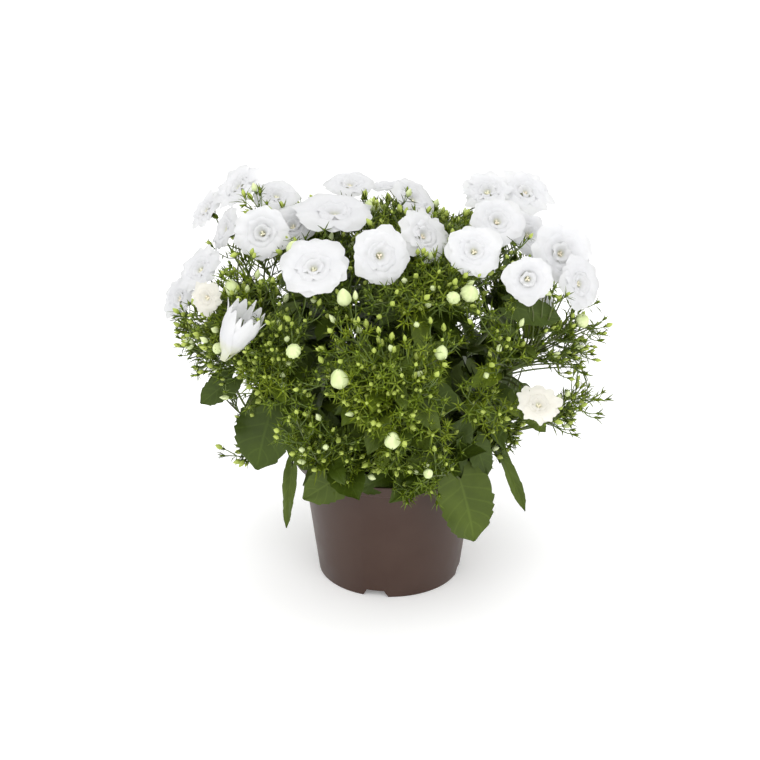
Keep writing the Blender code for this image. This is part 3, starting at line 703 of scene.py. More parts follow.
# Every twig is planned here, and the leaves, buds and flowers are hung on it further down.
flower_twigs, leaf_stalks, sprays = [], [], []
for x, y, z, azimuth, elevation, width in FLOWERS:
    place, facing, radius = Vector((x, y, z)) * MM, heading(azimuth, elevation), width * MM / 2
    mass = nearest_mass(place, masses)
    depth = 2 * CUP_DEPTH_SHARE if width > SMALL_FLOWER_WIDTH else LONG_BELL_DEPTH
    foot = place - facing * radius * depth
    flower_twigs.append((mass, twig_line(mass, foot, 2 * MM, 7), place, facing, radius))
for x, y, z, azimuth, elevation, length, width in BROAD_LEAVES:
    base, pointing = Vector((x, y, z)) * MM, heading(azimuth, elevation)
    mass = nearest_mass(base, lower_masses)
    towards_light = heading(0, 0) if y < 0 else heading(180, 0)
    facing = (Vector((x, y, 0)).normalized() + towards_light * 1.6 + Z_UP * 0.6).normalized()
    leaf_stalks.append((twig_line(mass, base, 6 * MM, 8), base, pointing, facing, length * MM, width * MM))
for mass, _, place, _, _ in flower_twigs:
    mass.seeds.append(place)
tips = []
for edge, azimuth, height in EDGE_SPRAYS:
    tips.append((heading(azimuth, 0) * (edge - EDGE_MARGIN) + Z_UP * height, heading(azimuth, 0), *SMALL_BUD))
loose_sprays = len(EDGE_SPRAYS) + len(LOOSE_SPRAYS)
for table, rise in ((LOOSE_SPRAYS, LOOSE_AIM), (FRONT_SPRAYS, FRONT_AIM)):
    for x, y, z in table:
        tips.append((Vector((x, y, z)) * MM, Vector((x, y, rise)).normalized(), *SMALL_BUD))
for x, y, z, width in BALLOON_BUDS:
    tip = Vector((x, y, z)) * MM
    tips.append((tip, (tip - CROWN_CENTRE + Z_UP * 70 * MM).normalized(), width * MM, width * 1.1 * MM))
tip_rng = random.Random(SEED)
for i in range(SPRAYS):
    sine = SPRAY_LOWEST_SINE + (1 - SPRAY_LOWEST_SINE) * (i + 0.5) / SPRAYS
    direction = heading(math.degrees(GOLDEN_TURN) * i, math.degrees(math.asin(sine)))
    tip = CROWN_CENTRE + direction * crown_reach(direction) * tip_rng.uniform(*SPRAY_REACH)
    drawn_in = min(1, skirt_radius(tip.z) * tip_rng.uniform(0.9, 1.0) / tip.xy.length)
    drawn_in = min(drawn_in, FLANK_REACH * tip_rng.uniform(0.9, 1.05) / max(off_middle(tip), 1 * MM))
    if tip_rng.random() > 0.12:
        tip = Vector((tip.x * drawn_in, tip.y * drawn_in, tip.z))
    tip.z = min(tip.z, crown_top(tip.y) - 4 * MM)
    tips.append((tip, direction, *SMALL_BUD))
for tip, direction, bud_width, bud_length in tips:
    mass = nearest_mass(tip, masses)
    line = twig_line(mass, tip - direction * bud_length, tip_rng.uniform(0, 5) * MM, 8)
    sprays.append((line, direction, bud_width))

# Fine stalks fork from the outer part of every twig, turned by the golden angle from one to the next.
FORKS, LOOSE_FORKS, TWIN_SHARE = 15, 9, 0.8
STALK_LENGTHS = (9 * MM, 29 * MM)
# Each spray takes one of the three tints, and the middle one a little more often.
TINT_SHARES = (3, 4, 3)
# Towards its left and right edges the crown is more open: a share of the stalks is missing there.
FLANK_OPENING, FLANK_START, FLANK_WIDTH = 0.62, 50 * MM, 35 * MM
fork_rng = random.Random(SEED + 1)
bud_places, bracts, twig_leaves = [], [], []

# Nothing grows over the face of an open flower or of a broad leaf, or in a gap that shows sky. A
# face has its place, direction and radius, and how far behind and ahead of it nothing grows.
open_faces = []
for _, _, place, facing, radius in flower_twigs:
    open_faces.append((place, facing, radius * 0.85, radius * 0.45, 15 * MM))
for _, base, pointing, facing, length, width in leaf_stalks:
    open_faces.append((base + pointing * length * 0.5, facing, (length + width) * 0.27, 4 * MM, 45 * MM))
face_places, face_normals, face_radii, face_behind, face_ahead = (np.array(part) for part in zip(*open_faces))
gap_places = np.array([(x * MM, 0, z * MM) for x, z, _ in SKY_GAPS])
gap_radii = np.array([radius * MM for _, _, radius in SKY_GAPS])
looking_back = np.array(heading(0, VIEW_ELEVATION))


def in_sky_gap(point):
    offsets = np.array(point) - gap_places
    aside = offsets - (offsets @ looking_back)[:, None] * looking_back
    return np.any(np.sqrt((aside ** 2).sum(axis=1)) < gap_radii)


def has_room(point):
    """Whether a point neither hides a face that is kept open nor fills a gap."""
    if in_sky_gap(point):
        return False
    offsets = np.array(point) - face_places
    ahead = (offsets * face_normals).sum(axis=1)
    aside = np.sqrt(np.maximum((offsets ** 2).sum(axis=1) - ahead ** 2, 0))
    return not np.any((ahead > -face_behind) & (ahead < face_ahead) & (aside < face_radii))


def in_shape(tip, point, loose):
    """Whether a stalk's tip stays in the crown, or in the widest reach where the spray is a loose one."""
    if loose:
        return -REACH_LEFT < tip.x < REACH_RIGHT and abs(tip.y) < REACH_FRONT and tip.z > point.z - 12 * MM
    skirt = max(skirt_radius(tip.z) + 3 * MM, point.xy.length + 6 * MM)
    flank = max(FLANK_REACH, off_middle(point)) + 5 * MM
    inside = inside_crown(tip, 0.99) and tip.z < crown_top(tip.y)
    return inside and tip.xy.length < skirt and off_middle(tip) < flank


def stalk_from(point, along, normal, length, loose):
    """A stalk that leaves a twig sideways and turns up and outwards. None where it finds no room."""
    outwards = (point - KNOB).normalized()
    start = (along * 0.5 + normal).normalized()
    end = (along * 0.6 + normal * 0.45 + outwards * 0.5 + Z_UP * 0.35).normalized()
    for _ in range(3):
        bend = point + start * length * 0.5
        tip = bend + end * length * 0.5
        free = clear_of_pot(tip, 3 * MM) and clear_of_pot(bend, 2 * MM) and has_room(tip)
        if free and in_shape(tip, point, loose):
            return bezier(point, bend, tip, 3)
        length *= 0.72
    return None


def missing_share(point):
    """The share of the stalks that is missing at a place, so that the crown's flanks are open."""
    return FLANK_OPENING * min(1, max(0, (off_middle(point) - FLANK_START) / FLANK_WIDTH))


def grow_stalk(line, tint):
    """Adds a stalk, and notes the bud at its tip."""
    stalks.add(*tube(line, even_radii(STALK_RADII, len(line)), STALK_SIDES))
    bud_places.append((line[-1], (line[-1] - line[-2]).normalized(), None, tint))


def fork(line, shares, tint, first_turn, loose):
    """Stalks from a twig at shares of its length, each with bracts along it and a bud at its tip."""
    frames = frames_along(line)
    for k, share in enumerate(shares):
        point, j = point_along(line, share)
        along = frames[j][0]
        turn = first_turn + k * GOLDEN_TURN + fork_rng.uniform(-0.3, 0.3)
        normal = sideways(frames[j], turn)
        length = fork_rng.uniform(*STALK_LENGTHS) * (1.25 - 0.5 * share)
        if fork_rng.random() < (0 if loose else missing_share(point)):
            continue
        stalk = stalk_from(point, along, normal, length * (0.7 if loose else 1), loose)
        if stalk is None:
            continue
        grow_stalk(stalk, tint)
        bracts.append((point, (along + normal * 0.8).normalized(), tint))
        bracts.append((stalk[1], (along - normal * 0.5 + Z_UP * 0.3).normalized(), tint))
        for step in (1, 2):
            leaving = (normal + sideways(frames[j], turn * (step + 2)) + along * 0.4).normalized()
            bracts.append((stalk[step].lerp(stalk[step + 1], 0.6), leaving, tint))
        if fork_rng.random() < TWIN_SHARE:
            twin_normal = sideways(frames[j], turn + fork_rng.choice((-1, 1)) * 1.2)
            twin = stalk_from(stalk[1], (stalk[2] - stalk[1]).normalized(), twin_normal, length * 0.6, loose)
            if twin is not None:
                grow_stalk(twin, tint)
                bracts.append((stalk[1], (twin_normal + along).normalized(), tint))


def dress_twig(line, tint, shares, leaf_shares, loose=False):
    """Adds a twig with its stalks, and notes where its leaves go."""
    stems.add(*tube(line, even_radii(TWIG_RADII, len(line)), TWIG_SIDES))
    first_turn = fork_rng.uniform(0, 6)
    fork(line, shares, tint, first_turn, loose)
    for k, share in enumerate(leaf_shares):
        twig_leaves.append((line, share, first_turn + (k + 0.5) * GOLDEN_TURN, tint))


for number, (line, direction, bud_width) in enumerate(sprays):
    if number >= len(EDGE_SPRAYS) and bud_width == SMALL_BUD[0] and not has_room(line[-1]):
        continue
    tint = fork_rng.choices((0, 1, 2), TINT_SHARES)[0]
    bud_places.append((line[-1], direction, bud_width, tint))
    loose = number < loose_sprays
    count = LOOSE_FORKS if loose else FORKS
    shares = [0.42 + 0.54 * (k + fork_rng.uniform(-0.3, 0.3)) / (count - 1) for k in range(count)]
    dress_twig(line, tint, shares, [0.16 + 0.13 * k for k in range(4)], loose)
for _, line, *_ in flower_twigs:
    tint = fork_rng.choices((0, 1, 2), TINT_SHARES)[0]
    dress_twig(line, tint, [0.35 + 0.12 * k for k in range(4)], [0.2 + 0.15 * k for k in range(3)])
for line, *_ in leaf_stalks:
    stems.add(*tube(line, even_radii(LEAF_STEM_RADII, len(line)), LEAF_STEM_SIDES))

STALK_GREEN, STALK_DEEP = (0.13, 0.19, 0.03), (0.07, 0.1, 0.02)
TWIG_GREEN, TWIG_BROWN = (0.09, 0.13, 0.025), (0.06, 0.055, 0.02)
foliage_nodes = [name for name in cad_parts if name.startswith("foliage_")]


def leafy_piece(name, batch, finish):
    """A piece whose like things grow on every mass of foliage."""
    piece(name, batch.mesh(name), finish, foliage_nodes)


twig_bark, *_ = finish_of("twig_bark", TWIG_GREEN, TWIG_BROWN, 260.0, 0.7, 0.55, 0.3)
stalk_skin, *_ = finish_of("stalk_skin", STALK_GREEN, STALK_DEEP, 220.0, 0.6, 0.5, 0.2)
leafy_piece("leafy_stems", stems, twig_bark)
leafy_piece("flower_stalks", stalks, stalk_skin)


# Leaves
# Heart-shaped blades with a toothed edge, a sunken midrib and side veins that make the surface
# bulge a little between them. They are thin, firm and satin; the darker green of those inside the plant is
# painted shade.
LEAF_TINTS = (
    ("deep", (0.048, 0.077, 0.004), (0.033, 0.054, 0.003)),
    ("mid", (0.069, 0.102, 0.007), (0.045, 0.069, 0.004)),
    ("fresh", (0.125, 0.175, 0.012), (0.085, 0.125, 0.008)),
)
LEAF_STALK_RADII = (0.5 * MM, 0.4 * MM, 0.4 * MM)
STEM_LEAVES = 26
# Leaves of the stems and of the twigs: length, and width as a share of it
STEM_LEAF, TWIG_LEAF = (25 * MM, 0.8), (19 * MM, 0.62)


def sheet_faces(rows, columns):
    """Quads of a sheet of points in rows."""
    first = (np.arange(rows - 1)[:, None] * columns + np.arange(columns - 1)).ravel()
    return np.stack([first, first + 1, first + columns + 1, first + columns], axis=1)


def grid_points(*parts):
    """Points in rows, from one grid of figures for each coordinate."""
    return np.stack(np.broadcast_arrays(*parts), axis=-1).reshape(-1, len(parts))


def heart_leaf(
    rng, rows, columns, heart=0.2, teeth=0.08, fold=0.14, droop=0.22, veins=5, taper=0.8, wave=0.03
):
    """A leaf of length 1 along Y and width 1 across X, facing Z. A small taper gives broad shoulders."""
    t = np.linspace(0, 1, rows)[:, None] ** 0.9
    s = np.linspace(-1, 1, columns)[None, :]
    half = (t + 0.02) ** 0.42 * (1.02 - t) ** taper
    half = 0.5 * half / half.max() * np.clip((1.01 - t) / 0.14, 0, 1) ** 0.5
    edge = np.abs(s) ** 6
    saw = np.mod(t * 6.3 + 0.4 * np.sign(s) + 0.35 * np.sin(7 * t + rng.uniform(0, 6)), 1.0)
    x = s * half * (1 + teeth * edge * (1 - 2 * saw) * (t < 0.96))
    y = t - heart * np.abs(s) ** 1.5 * (1 - t) ** 2 + 0.05 * t ** 12
    bulge = np.cos(2 * math.pi * veins * (t - 0.3 * np.abs(s)))
    z = fold * np.abs(x) - droop * t ** 2 + 0.014 * bulge * np.abs(s) * (1 - np.abs(s) ** 3)
    z = z - 0.012 * np.exp(-(s / 0.12) ** 2)
    phase = rng.uniform(0, 6.3)
    z = z + wave * (np.sin(s * 2.2 + t * 5 + phase) * np.abs(s) + 0.7 * np.sin(t * 9 + phase) * s)
    x = x + rng.uniform(-0.06, 0.06) * t ** 2
    return grid_points(x, y, z), sheet_faces(rows, columns), grid_points(0.5 + 0.5 * s, t)


def turn_to(direction, facing):
    """Matrix whose Y is the direction and whose Z is as near to the facing as it can be."""
    y = direction.normalized()
    x = y.cross(facing)
    if x.length < 1e-4:
        x = y.orthogonal()
    x.normalize()
    return Matrix((x, y, x.cross(y))).transposed()


leaf_rng = random.Random(SEED + 2)
shape_rng = np.random.default_rng(SEED)
broad_shapes = [
    heart_leaf(shape_rng, 29, 13, heart=0.26, teeth=0.06, taper=0.58, wave=0.05) for _ in range(5)
]
stem_shapes = [
    heart_leaf(shape_rng, 14, 7, heart=0.2, fold=0.25, droop=shape_rng.uniform(0.1, 0.5)) for _ in range(8)
]
twig_shapes = [heart_leaf(shape_rng, 11, 7, heart=0.08, droop=shape_rng.uniform(0.0, 0.4)) for _ in range(8)]
leaves = [Batch() for _ in LEAF_TINTS]
leaf_stems = Batch()


def stretched(shape, length, width):
    points, faces, uvs = shape
    return points * np.array((width, length, (length + width) / 2)), faces, uvs


def hang_leaf(shape, base, pointing, facing, length, width, tint):
    """Places a leaf, unless it would touch the pot, leave the crown, or cover a flower or a gap."""
    turn = turn_to(pointing, facing)
    corners = ((0, 1), (-0.45, 0.4), (0.45, 0.4), (0, 0.5))
    marks = [base + turn @ Vector((x * width, y * length, 0)) for x, y in corners]
    tip, left, right, middle = marks
    if not all(clear_of_pot(mark) for mark in marks) or not inside_crown(tip, 1.0):
        return False
    if off_middle(tip) > FLANK_REACH or not has_room(tip) or not has_room(middle):
        return False
    if in_sky_gap(left) or in_sky_gap(right):
        return False
    leaves[tint].place(stretched(shape, length, width), turn, base)
    return True


for number, (_, base, pointing, facing, length, width) in enumerate(leaf_stalks):
    shape = stretched(leaf_rng.choice(broad_shapes), length, width)
    leaves[number % 2].place(shape, turn_to(pointing, facing), base)


def stalked_leaf(line, share, turn, size, slimness, shapes, tint):
    """A leaf on a short stalk of its own, from a share of a stem's length."""
    point, j = point_along(line, share)
    axes = frames_along(line)[j]
    normal = sideways(axes, turn)
    outwards = (point - KNOB).normalized()
    length = size * leaf_rng.uniform(0.8, 1.2)
    pointing = (axes[0] * leaf_rng.uniform(0.2, 0.7) + normal + outwards * 0.35).normalized()
    base = point + pointing * length * leaf_rng.uniform(0.25, 0.5)
    pointing = (pointing - Z_UP * leaf_rng.uniform(0.0, 0.5)).normalized()
    facing = (Z_UP + outwards * leaf_rng.uniform(0.5, 2.0)).normalized()
    width = length * slimness * leaf_rng.uniform(0.85, 1.15)
    if hang_leaf(leaf_rng.choice(shapes), base, pointing, facing, length, width, tint):
        stalk = [point, (point + base) / 2 + Z_UP * 0.5 * MM, base + pointing * 1 * MM]
        leaf_stems.add(*tube(stalk, LEAF_STALK_RADII, STALK_SIDES))


for mass in masses:
    line = mass.fine_line()
    first_turn = leaf_rng.uniform(0, 6)
    for k in range(STEM_LEAVES):
        share = (k + 0.5) / STEM_LEAVES
        # Leaves along the stems, deep in the crown, are mostly given the deep green: painted shade.
        tint = leaf_rng.choices((0, 1), (4, 1))[0]
        if share > 0.55 and off_middle(line[-1]) > 65 * MM and k % 3:
            continue
        stalked_leaf(line, share, first_turn + k * GOLDEN_TURN, *STEM_LEAF, stem_shapes, tint)
for line, share, turn, tint in twig_leaves:
    # A twig's leaves near its foot, further inside the crown, take a tint one step darker: painted shade.
    tint = max(0, min(2, tint - (share < 0.35)))
    stalked_leaf(line, share, turn, *TWIG_LEAF, twig_shapes, tint)


# Veins: a midrib, and side veins that slant away from it.
veins, given, result = shader_group(
    "leaf_veins", (("Lines", "NodeSocketFloat", 5.0),), (("Mask", "NodeSocketFloat"),)
)
uv = node(veins, "ShaderNodeUVMap", {"uv_map": "surface"}).outputs["UV"]
parts = node(veins, "ShaderNodeSeparateXYZ", Vector=uv)
across = maths(veins, "ABSOLUTE", maths(veins, "MULTIPLY_ADD", parts.outputs["X"], 2.0, -1.0))
midrib = ranged(veins, across, 0.02, 0.07, 1.0, 0.0)
slant = maths(veins, "SUBTRACT", parts.outputs["Y"], maths(veins, "MULTIPLY", across, 0.3))
line_place = maths(veins, "FRACT", maths(veins, "MULTIPLY", slant, given.outputs["Lines"]))
off_line = maths(veins, "ABSOLUTE", maths(veins, "SUBTRACT", line_place, 0.5))
side_vein = ranged(veins, off_line, 0.03, 0.1, 0.6, 0.0)
veins.links.new(maths(veins, "MAXIMUM", midrib, side_vein), result.inputs["Mask"])


def leaf_finish(name, base, deep):
    """Leaf green with paler veins, which are also a little raised."""
    made, tree, shader, patches, relief = finish_of(name, base, deep, 60.0, 0.8, 0.5, 0.35, gloss=0.25)
    lines = node(tree, "ShaderNodeGroup", {"node_tree": veins}).outputs["Mask"]
    pale = tuple(min(1, c * 1.7 + 0.01) for c in base)
    veined = blended(tree, maths(tree, "MULTIPLY", lines, 0.32), patches.outputs["Colour"], (*pale, 1))
    tree.links.new(veined, shader.inputs["Base Color"])
    height = maths(tree, "MULTIPLY_ADD", lines, 0.6, patches.outputs["Height"])
    tree.links.new(height, relief.inputs["Height"])
    return made


for batch, (tint, base, deep) in zip(leaves, LEAF_TINTS):
    leafy_piece(f"leaves_{tint}", batch, leaf_finish(f"leaf_{tint}", base, deep))
leafy_piece("leaf_stalks", leaf_stems, stalk_skin)


# Buds
# Each bud sits in a calyx of five narrow pointed sepals on a small green cone. A young bud is green
# and closed, a ripe one is pale and fluted, where the folded petals show.
SEPAL_TINTS = (
    ("deep", (0.066, 0.1, 0.003), (0.044, 0.07, 0.002)),
    ("mid", (0.106, 0.153, 0.004), (0.075, 0.111, 0.003)),
    ("bright", (0.158, 0.208, 0.007), (0.11, 0.15, 0.005)),
)
BUD_TINTS = (
    ("green", (0.2, 0.28, 0.02), (0.14, 0.2, 0.012)),
    ("lime", (0.44, 0.52, 0.11), (0.33, 0.42, 0.07)),
    ("cream", (0.66, 0.73, 0.4), (0.52, 0.62, 0.26)),
)
SEPAL_LENGTH, SEPAL_WIDTH = 4.9 * MM, 0.85 * MM
CALYX_FOOT, CALYX_CONE = 0.75 * MM, 1.7 * MM
# Rows of large buds that are smooth and stand more upright. The others are fluted.
SMOOTH_BUDS, UPRIGHT = (0, 2, 3, 9, 11, 13, 14, 16), 0.9
RIPE_AGE, PALE_AGE = 0.6, 0.96
BRACT_LENGTHS, BRACT_WIDTH = (4, 9.5), 1.0 * MM


def sepal(length, width, opening, curl):
    """A narrow sepal whose foot is at the origin, opened outwards from Z by an angle."""
    rows = 3
    t = np.linspace(0, 1, rows)[:, None]
    s = np.array((-1.0, 1.0))[None, :]
    half = width / 2 * (1 - t) ** 1.1 * (1 + 0.9 * t) + 0.03 * width
    tilt = (opening + curl * t)[:-1]
    step = length / (rows - 1)
    out, up = (np.cumsum(np.append(0.0, part * step))[:, None] for part in (np.sin(tilt), np.cos(tilt)))
    return grid_points(s * half, out, up), sheet_faces(rows, 2)


def calyx(rng, opening):
    """Five sepals round a short cone. Its Z is the bud's axis."""
    batch = Batch()
    for k in range(5):
        length, tilt = SEPAL_LENGTH * rng.uniform(0.8, 1.15), opening + rng.uniform(-0.2, 0.2)
        blade = sepal(length, SEPAL_WIDTH, tilt, rng.uniform(0.1, 0.7))
        turn = Matrix.Rotation(2 * math.pi * k / 5 + rng.uniform(-0.15, 0.15), 3, "Z")
        batch.place(blade, turn, turn @ Vector((0, CALYX_FOOT, 0)))
    cone = ((0.3 * MM, -CALYX_CONE), (CALYX_FOOT * 1.1, -CALYX_CONE * 0.4), (CALYX_FOOT, 0.2 * MM))
    batch.add(np.concatenate([ring_points(radius, z, 5) for radius, z in cone]), ring_faces(3, 5))
    return np.concatenate(batch.points), batch.faces


def bud(width, length, ribs, rings, flute, fullness, twist=0.25, per_rib=2):
    """A closed bud with ribs, its foot at the origin and its tip on Z."""
    columns = ribs * per_rib
    points = []
    for i in range(rings):
        t = 0.03 + 0.9 * i / (rings - 1)
        radius = width / 2 * math.sin(math.pi * t ** fullness) ** 0.8
        depth = flute * min(1, 4 * t * (1 - t) + 0.4)
        for k in range(columns):
            angle = 2 * math.pi * k / columns + twist * t
            out = radius * (1 - depth * abs(math.cos(math.pi * k / per_rib)) ** 3)
            points.append((out * math.sin(angle), -out * math.cos(angle), length * t))
    points.append((0, 0, length))
    return np.array(points), capped_rings(rings, columns)


def swollen(shape, width, length):
    """A bud's shape brought to a width and a length."""
    points, faces = shape
    return points * np.array((width, width, length)), faces


def turn_axis(axis, spin):
    """Matrix whose Z is the axis, spun round it."""
    return axis.to_track_quat("Z", "Y").to_matrix() @ Matrix.Rotation(spin, 3, "Z")


calyxes = [calyx(shape_rng, opening) for opening in (0.35, 0.5, 0.65, 0.8, 0.95, 1.1, 1.2, 1.35)]
young_buds = [bud(1.0, 1.0, 3, 3, 0.1, fullness) for fullness in (0.7, 0.8)]
ripe_buds = [bud(1.0, 1.0, 4, 4, 0.15, fullness) for fullness in (0.66, 0.74, 0.82)]
fluted_balloon = bud(1.0, 1.0, 10, 12, 0.12, 0.85, twist=0.5, per_rib=4)
smooth_balloon = bud(0.94, 1.42, 5, 12, 0.09, 0.72, twist=0.4, per_rib=7)
bract_shapes = [heart_leaf(shape_rng, 3, 3, heart=0.0, teeth=0, droop=d, veins=0) for d in (0.1, 0.3, 0.5)]

sepals = [Batch() for _ in SEPAL_TINTS]
buds = [Batch() for _ in BUD_TINTS]
bud_rng = random.Random(SEED + 3)
balloons = 0
for place, axis, width, tint in bud_places:
    spin = bud_rng.uniform(0, 6)
    turn = turn_axis(axis, spin)
    if width is not None and width > SMALL_BUD[0]:
        balloon = fluted_balloon
        if balloons in SMOOTH_BUDS:
            balloon, turn = smooth_balloon, turn_axis((axis + Z_UP * UPRIGHT).normalized(), spin)
        balloons += 1
        buds[2].place(swollen(balloon, width, width * 0.95), turn, place)
        sepals[tint].place(bud_rng.choice(calyxes[1:5]), turn, place, 1.6)
        continue
    age = bud_rng.random()
    size = (1.2 + 2.7 * age ** 2.2) * MM
    shape = bud_rng.choice(young_buds if age < RIPE_AGE else ripe_buds)
    bud_tint = 0 if age < RIPE_AGE else 1 if age < PALE_AGE else 2
    buds[bud_tint].place(swollen(shape, size, size * 1.6), turn, place)
    sepals[tint].place(bud_rng.choice(calyxes), turn, place, bud_rng.uniform(0.75, 1.15))
for point, pointing, tint in bracts:
    length = bud_rng.uniform(*BRACT_LENGTHS) * MM
    shape = stretched(bud_rng.choice(bract_shapes), length, BRACT_WIDTH)
    sepals[tint].place(shape, turn_to(pointing, Z_UP), point)
for batch, (tint, base, deep) in zip(sepals, SEPAL_TINTS):
    skin, *_ = finish_of(f"sepal_{tint}", base, deep, 150.0, 0.8, 0.5, 0.2, gloss=0.25)
    leafy_piece(f"sepals_{tint}", batch, skin)
for batch, (tint, base, deep) in zip(buds, BUD_TINTS):
    skin, *_ = finish_of(f"bud_{tint}", base, deep, 240.0, 0.7, 0.5, 0.15, gloss=0.3)
    leafy_piece(f"buds_{tint}", batch, skin)


# Open flowers
# Double flowers: two wide thin white bells, one in the other, and two smaller ones in their throat,
# each with five broad lobes and a ruffled rim that is torn on some. A pale three-lobed stigma stands
# in the middle, and a green cup stands behind.
PETAL_WHITE, PETAL_SHADE = (0.83, 0.83, 0.84), (0.795, 0.8, 0.815)
PETAL_CREAM, PETAL_CREAM_SHADE = (0.86, 0.84, 0.78), (0.82, 0.8, 0.73)
THROAT_GREEN, LIGHT_THROUGH = (0.74, 0.76, 0.5), 0.4
STIGMA_CREAM, STIGMA_PINK = (0.82, 0.82, 0.62), (0.84, 0.72, 0.6)
STIGMA_RADII = (0.75 * MM, 0.55 * MM)
LOBES = 5
# Flowers by their row, counted from 0, in the table of open flowers
CREAM_FLOWERS = (20, 24)
CUPPED_FLOWERS = (4, 17)
TORN_FLOWERS = (0, 2, 3, 11, 14, 15, 20, 22, 23, 24)
HALF_OPEN_FLOWERS = (21,)
# Bells: reach, depth, rise, curve, notch, ruffle, waves, rows, columns
BELLS = (
    (1.0, 0.46, -0.01, 3.8, 0.17, 0.04, 6, 11, 70),
    (0.95, 0.46, 0.015, 3.6, 0.2, 0.05, 7, 11, 70),
    (0.66, 0.45, 0.005, 3.2, 0.2, 0.045, 6, 8, 50),
    (0.4, 0.34, 0.0, 2.6, 0.22, 0.05, 5, 6, 36),
)
# Straps of a half-open flower: length and mouth in radii, width, and how far the tip flares
STRAPS = 12
FLARED_STRAP, PLAIN_STRAP = (3.1, 0.7, 5.5 * MM, 0.9), (2.6, 0.9, 11 * MM, 0.2)


def bell(rng, radius, torn, reach, depth, rise, curve, notch, ruffle, waves, rows, columns):
    """A closed ruffled sheet from the throat to a rim with five broad lobes."""
    t = np.linspace(0, 1, rows)[:, None]
    around = np.arange(columns)[None, :] * 2 * math.pi / columns
    phase = rng.uniform(0, 2 * math.pi, 7)
    lobe = around * LOBES / (2 * math.pi)
    within = np.mod(lobe, 1)
    lobe_size = rng.uniform(0.86, 1.05, LOBES)[lobe.astype(int) % LOBES]
    cleft = np.abs(2 * within - 1) ** 3.2
    point = np.exp(-((within - 0.5 - rng.uniform(-0.08, 0.08)) / 0.13) ** 2)
    beyond = np.clip((t - 0.35) / 0.65, 0, 1) ** 1.6
    lost = (notch + 0.1 * torn) * cleft + (1 - lobe_size) * (1 - cleft)
    edge = 1 - beyond * (lost - (0.07 + 0.08 * torn) * point)
    teeth = np.sin(19 * around + phase[0]) + np.sin(8 * around + phase[6])
    edge = edge + (0.015 + 0.02 * torn) * beyond * teeth
    out = reach * (0.09 + 0.91 * t) * edge
    height = (depth + rise) * (1 - (1 - t) ** curve) - depth
    wander = 1.4 * np.sin(around + phase[1]) + 0.9 * np.sin(2 * around + phase[2])
    calm = 0.65 + 0.35 * np.sin(2 * around + phase[3])
    wave = np.sin(waves * around + wander + phase[4])
    wave = wave + 0.4 * np.sin((waves * 2 - 3) * around - wander + t * 2)
    height = height + ruffle * calm * t ** 2.2 * wave
    height = height - 0.1 * (1 - cleft) * np.clip((t - 0.7) / 0.3, 0, 1) ** 1.5
    height = height + 0.03 * t * np.sin(around + phase[5])
    points = grid_points(out * np.sin(around), -out * np.cos(around), height) * radius
    return points, ring_faces(rows, columns), grid_points(around / (2 * math.pi), t)


def strap_petal(length, mouth, width, flare):
    """A long narrow petal of a bell that isn't open yet. The mouth's centre is at the origin."""
    t = np.linspace(0, 1, 10)[:, None]
    s = np.linspace(-1, 1, 5)[None, :]
    half = width / 2 * np.sin(math.pi * (0.16 + 0.82 * t)) ** 0.8
    out = mouth * (0.25 + 0.75 * np.sin(0.75 * math.pi * t) + flare * t ** 4) - 0.3 * half * s ** 2
    points = grid_points(s * half, -out, length * (t - 1))
    return points, sheet_faces(10, 5), grid_points(0.5 + 0.5 * s, t)


white_petals, cream_petals, stigmas, flower_cups = Batch(), Batch(), Batch(), Batch()
for number, (_, line, place, facing, radius) in enumerate(flower_twigs):
    rng = np.random.default_rng(number)
    batch = cream_petals if number in CREAM_FLOWERS else white_petals
    spin = rng.uniform(0, 6)
    turn = turn_axis(facing, spin)
    if number in HALF_OPEN_FLOWERS:
        for k in range(STRAPS):
            length, mouth, width, flare = FLARED_STRAP if k % 3 == 0 else PLAIN_STRAP
            petal = strap_petal(radius * length * rng.uniform(0.93, 1.07), radius * mouth, width, flare)
            batch.place(petal, turn_axis(facing, spin + 2 * math.pi * k / STRAPS), place)
        flower_cups.place(calyxes[1], turn, place - facing * radius * LONG_BELL_DEPTH, 1.8)
        continue
    for k, (reach, depth, *form) in enumerate(BELLS):
        if number in CUPPED_FLOWERS:
            depth *= 1.35
        reach *= rng.uniform(0.95, 1.04) if k < 2 else rng.uniform(0.8, 1.15)
        shape = bell(rng, radius * 0.97, number in TORN_FLOWERS, reach, depth, *form)
        batch.place(shape, turn_axis(facing, spin + k * math.pi / 5 * rng.uniform(0.8, 1.2)), place)
    throat = place - facing * radius * 1.3 * CUP_DEPTH_SHARE
    top = throat + facing * radius * 0.22
    for k in range(3):
        style = bezier(throat, top, top + turn @ heading(120 * k, 35) * 1.6 * MM, 4)
        stigmas.add(*tube(style, even_radii(STIGMA_RADII, len(style)), 6))
    flower_cups.place(calyxes[3], turn, line[-1] + facing * 1.5 * MM, 2.1)


# Throat tint: how green a petal is, from all of it at the throat to none further out.
throat_tint, given, result = shader_group(
    "throat_tint", (("Reach", "NodeSocketFloat", 0.35),), (("Mask", "NodeSocketFloat"),)
)
uv = node(throat_tint, "ShaderNodeUVMap", {"uv_map": "surface"}).outputs["UV"]
outwards_share = node(throat_tint, "ShaderNodeSeparateXYZ", Vector=uv).outputs["Y"]
fading = ranged(throat_tint, outwards_share, 0.0, given.outputs["Reach"], 1.0, 0.0)
throat_tint.links.new(fading, result.inputs["Mask"])


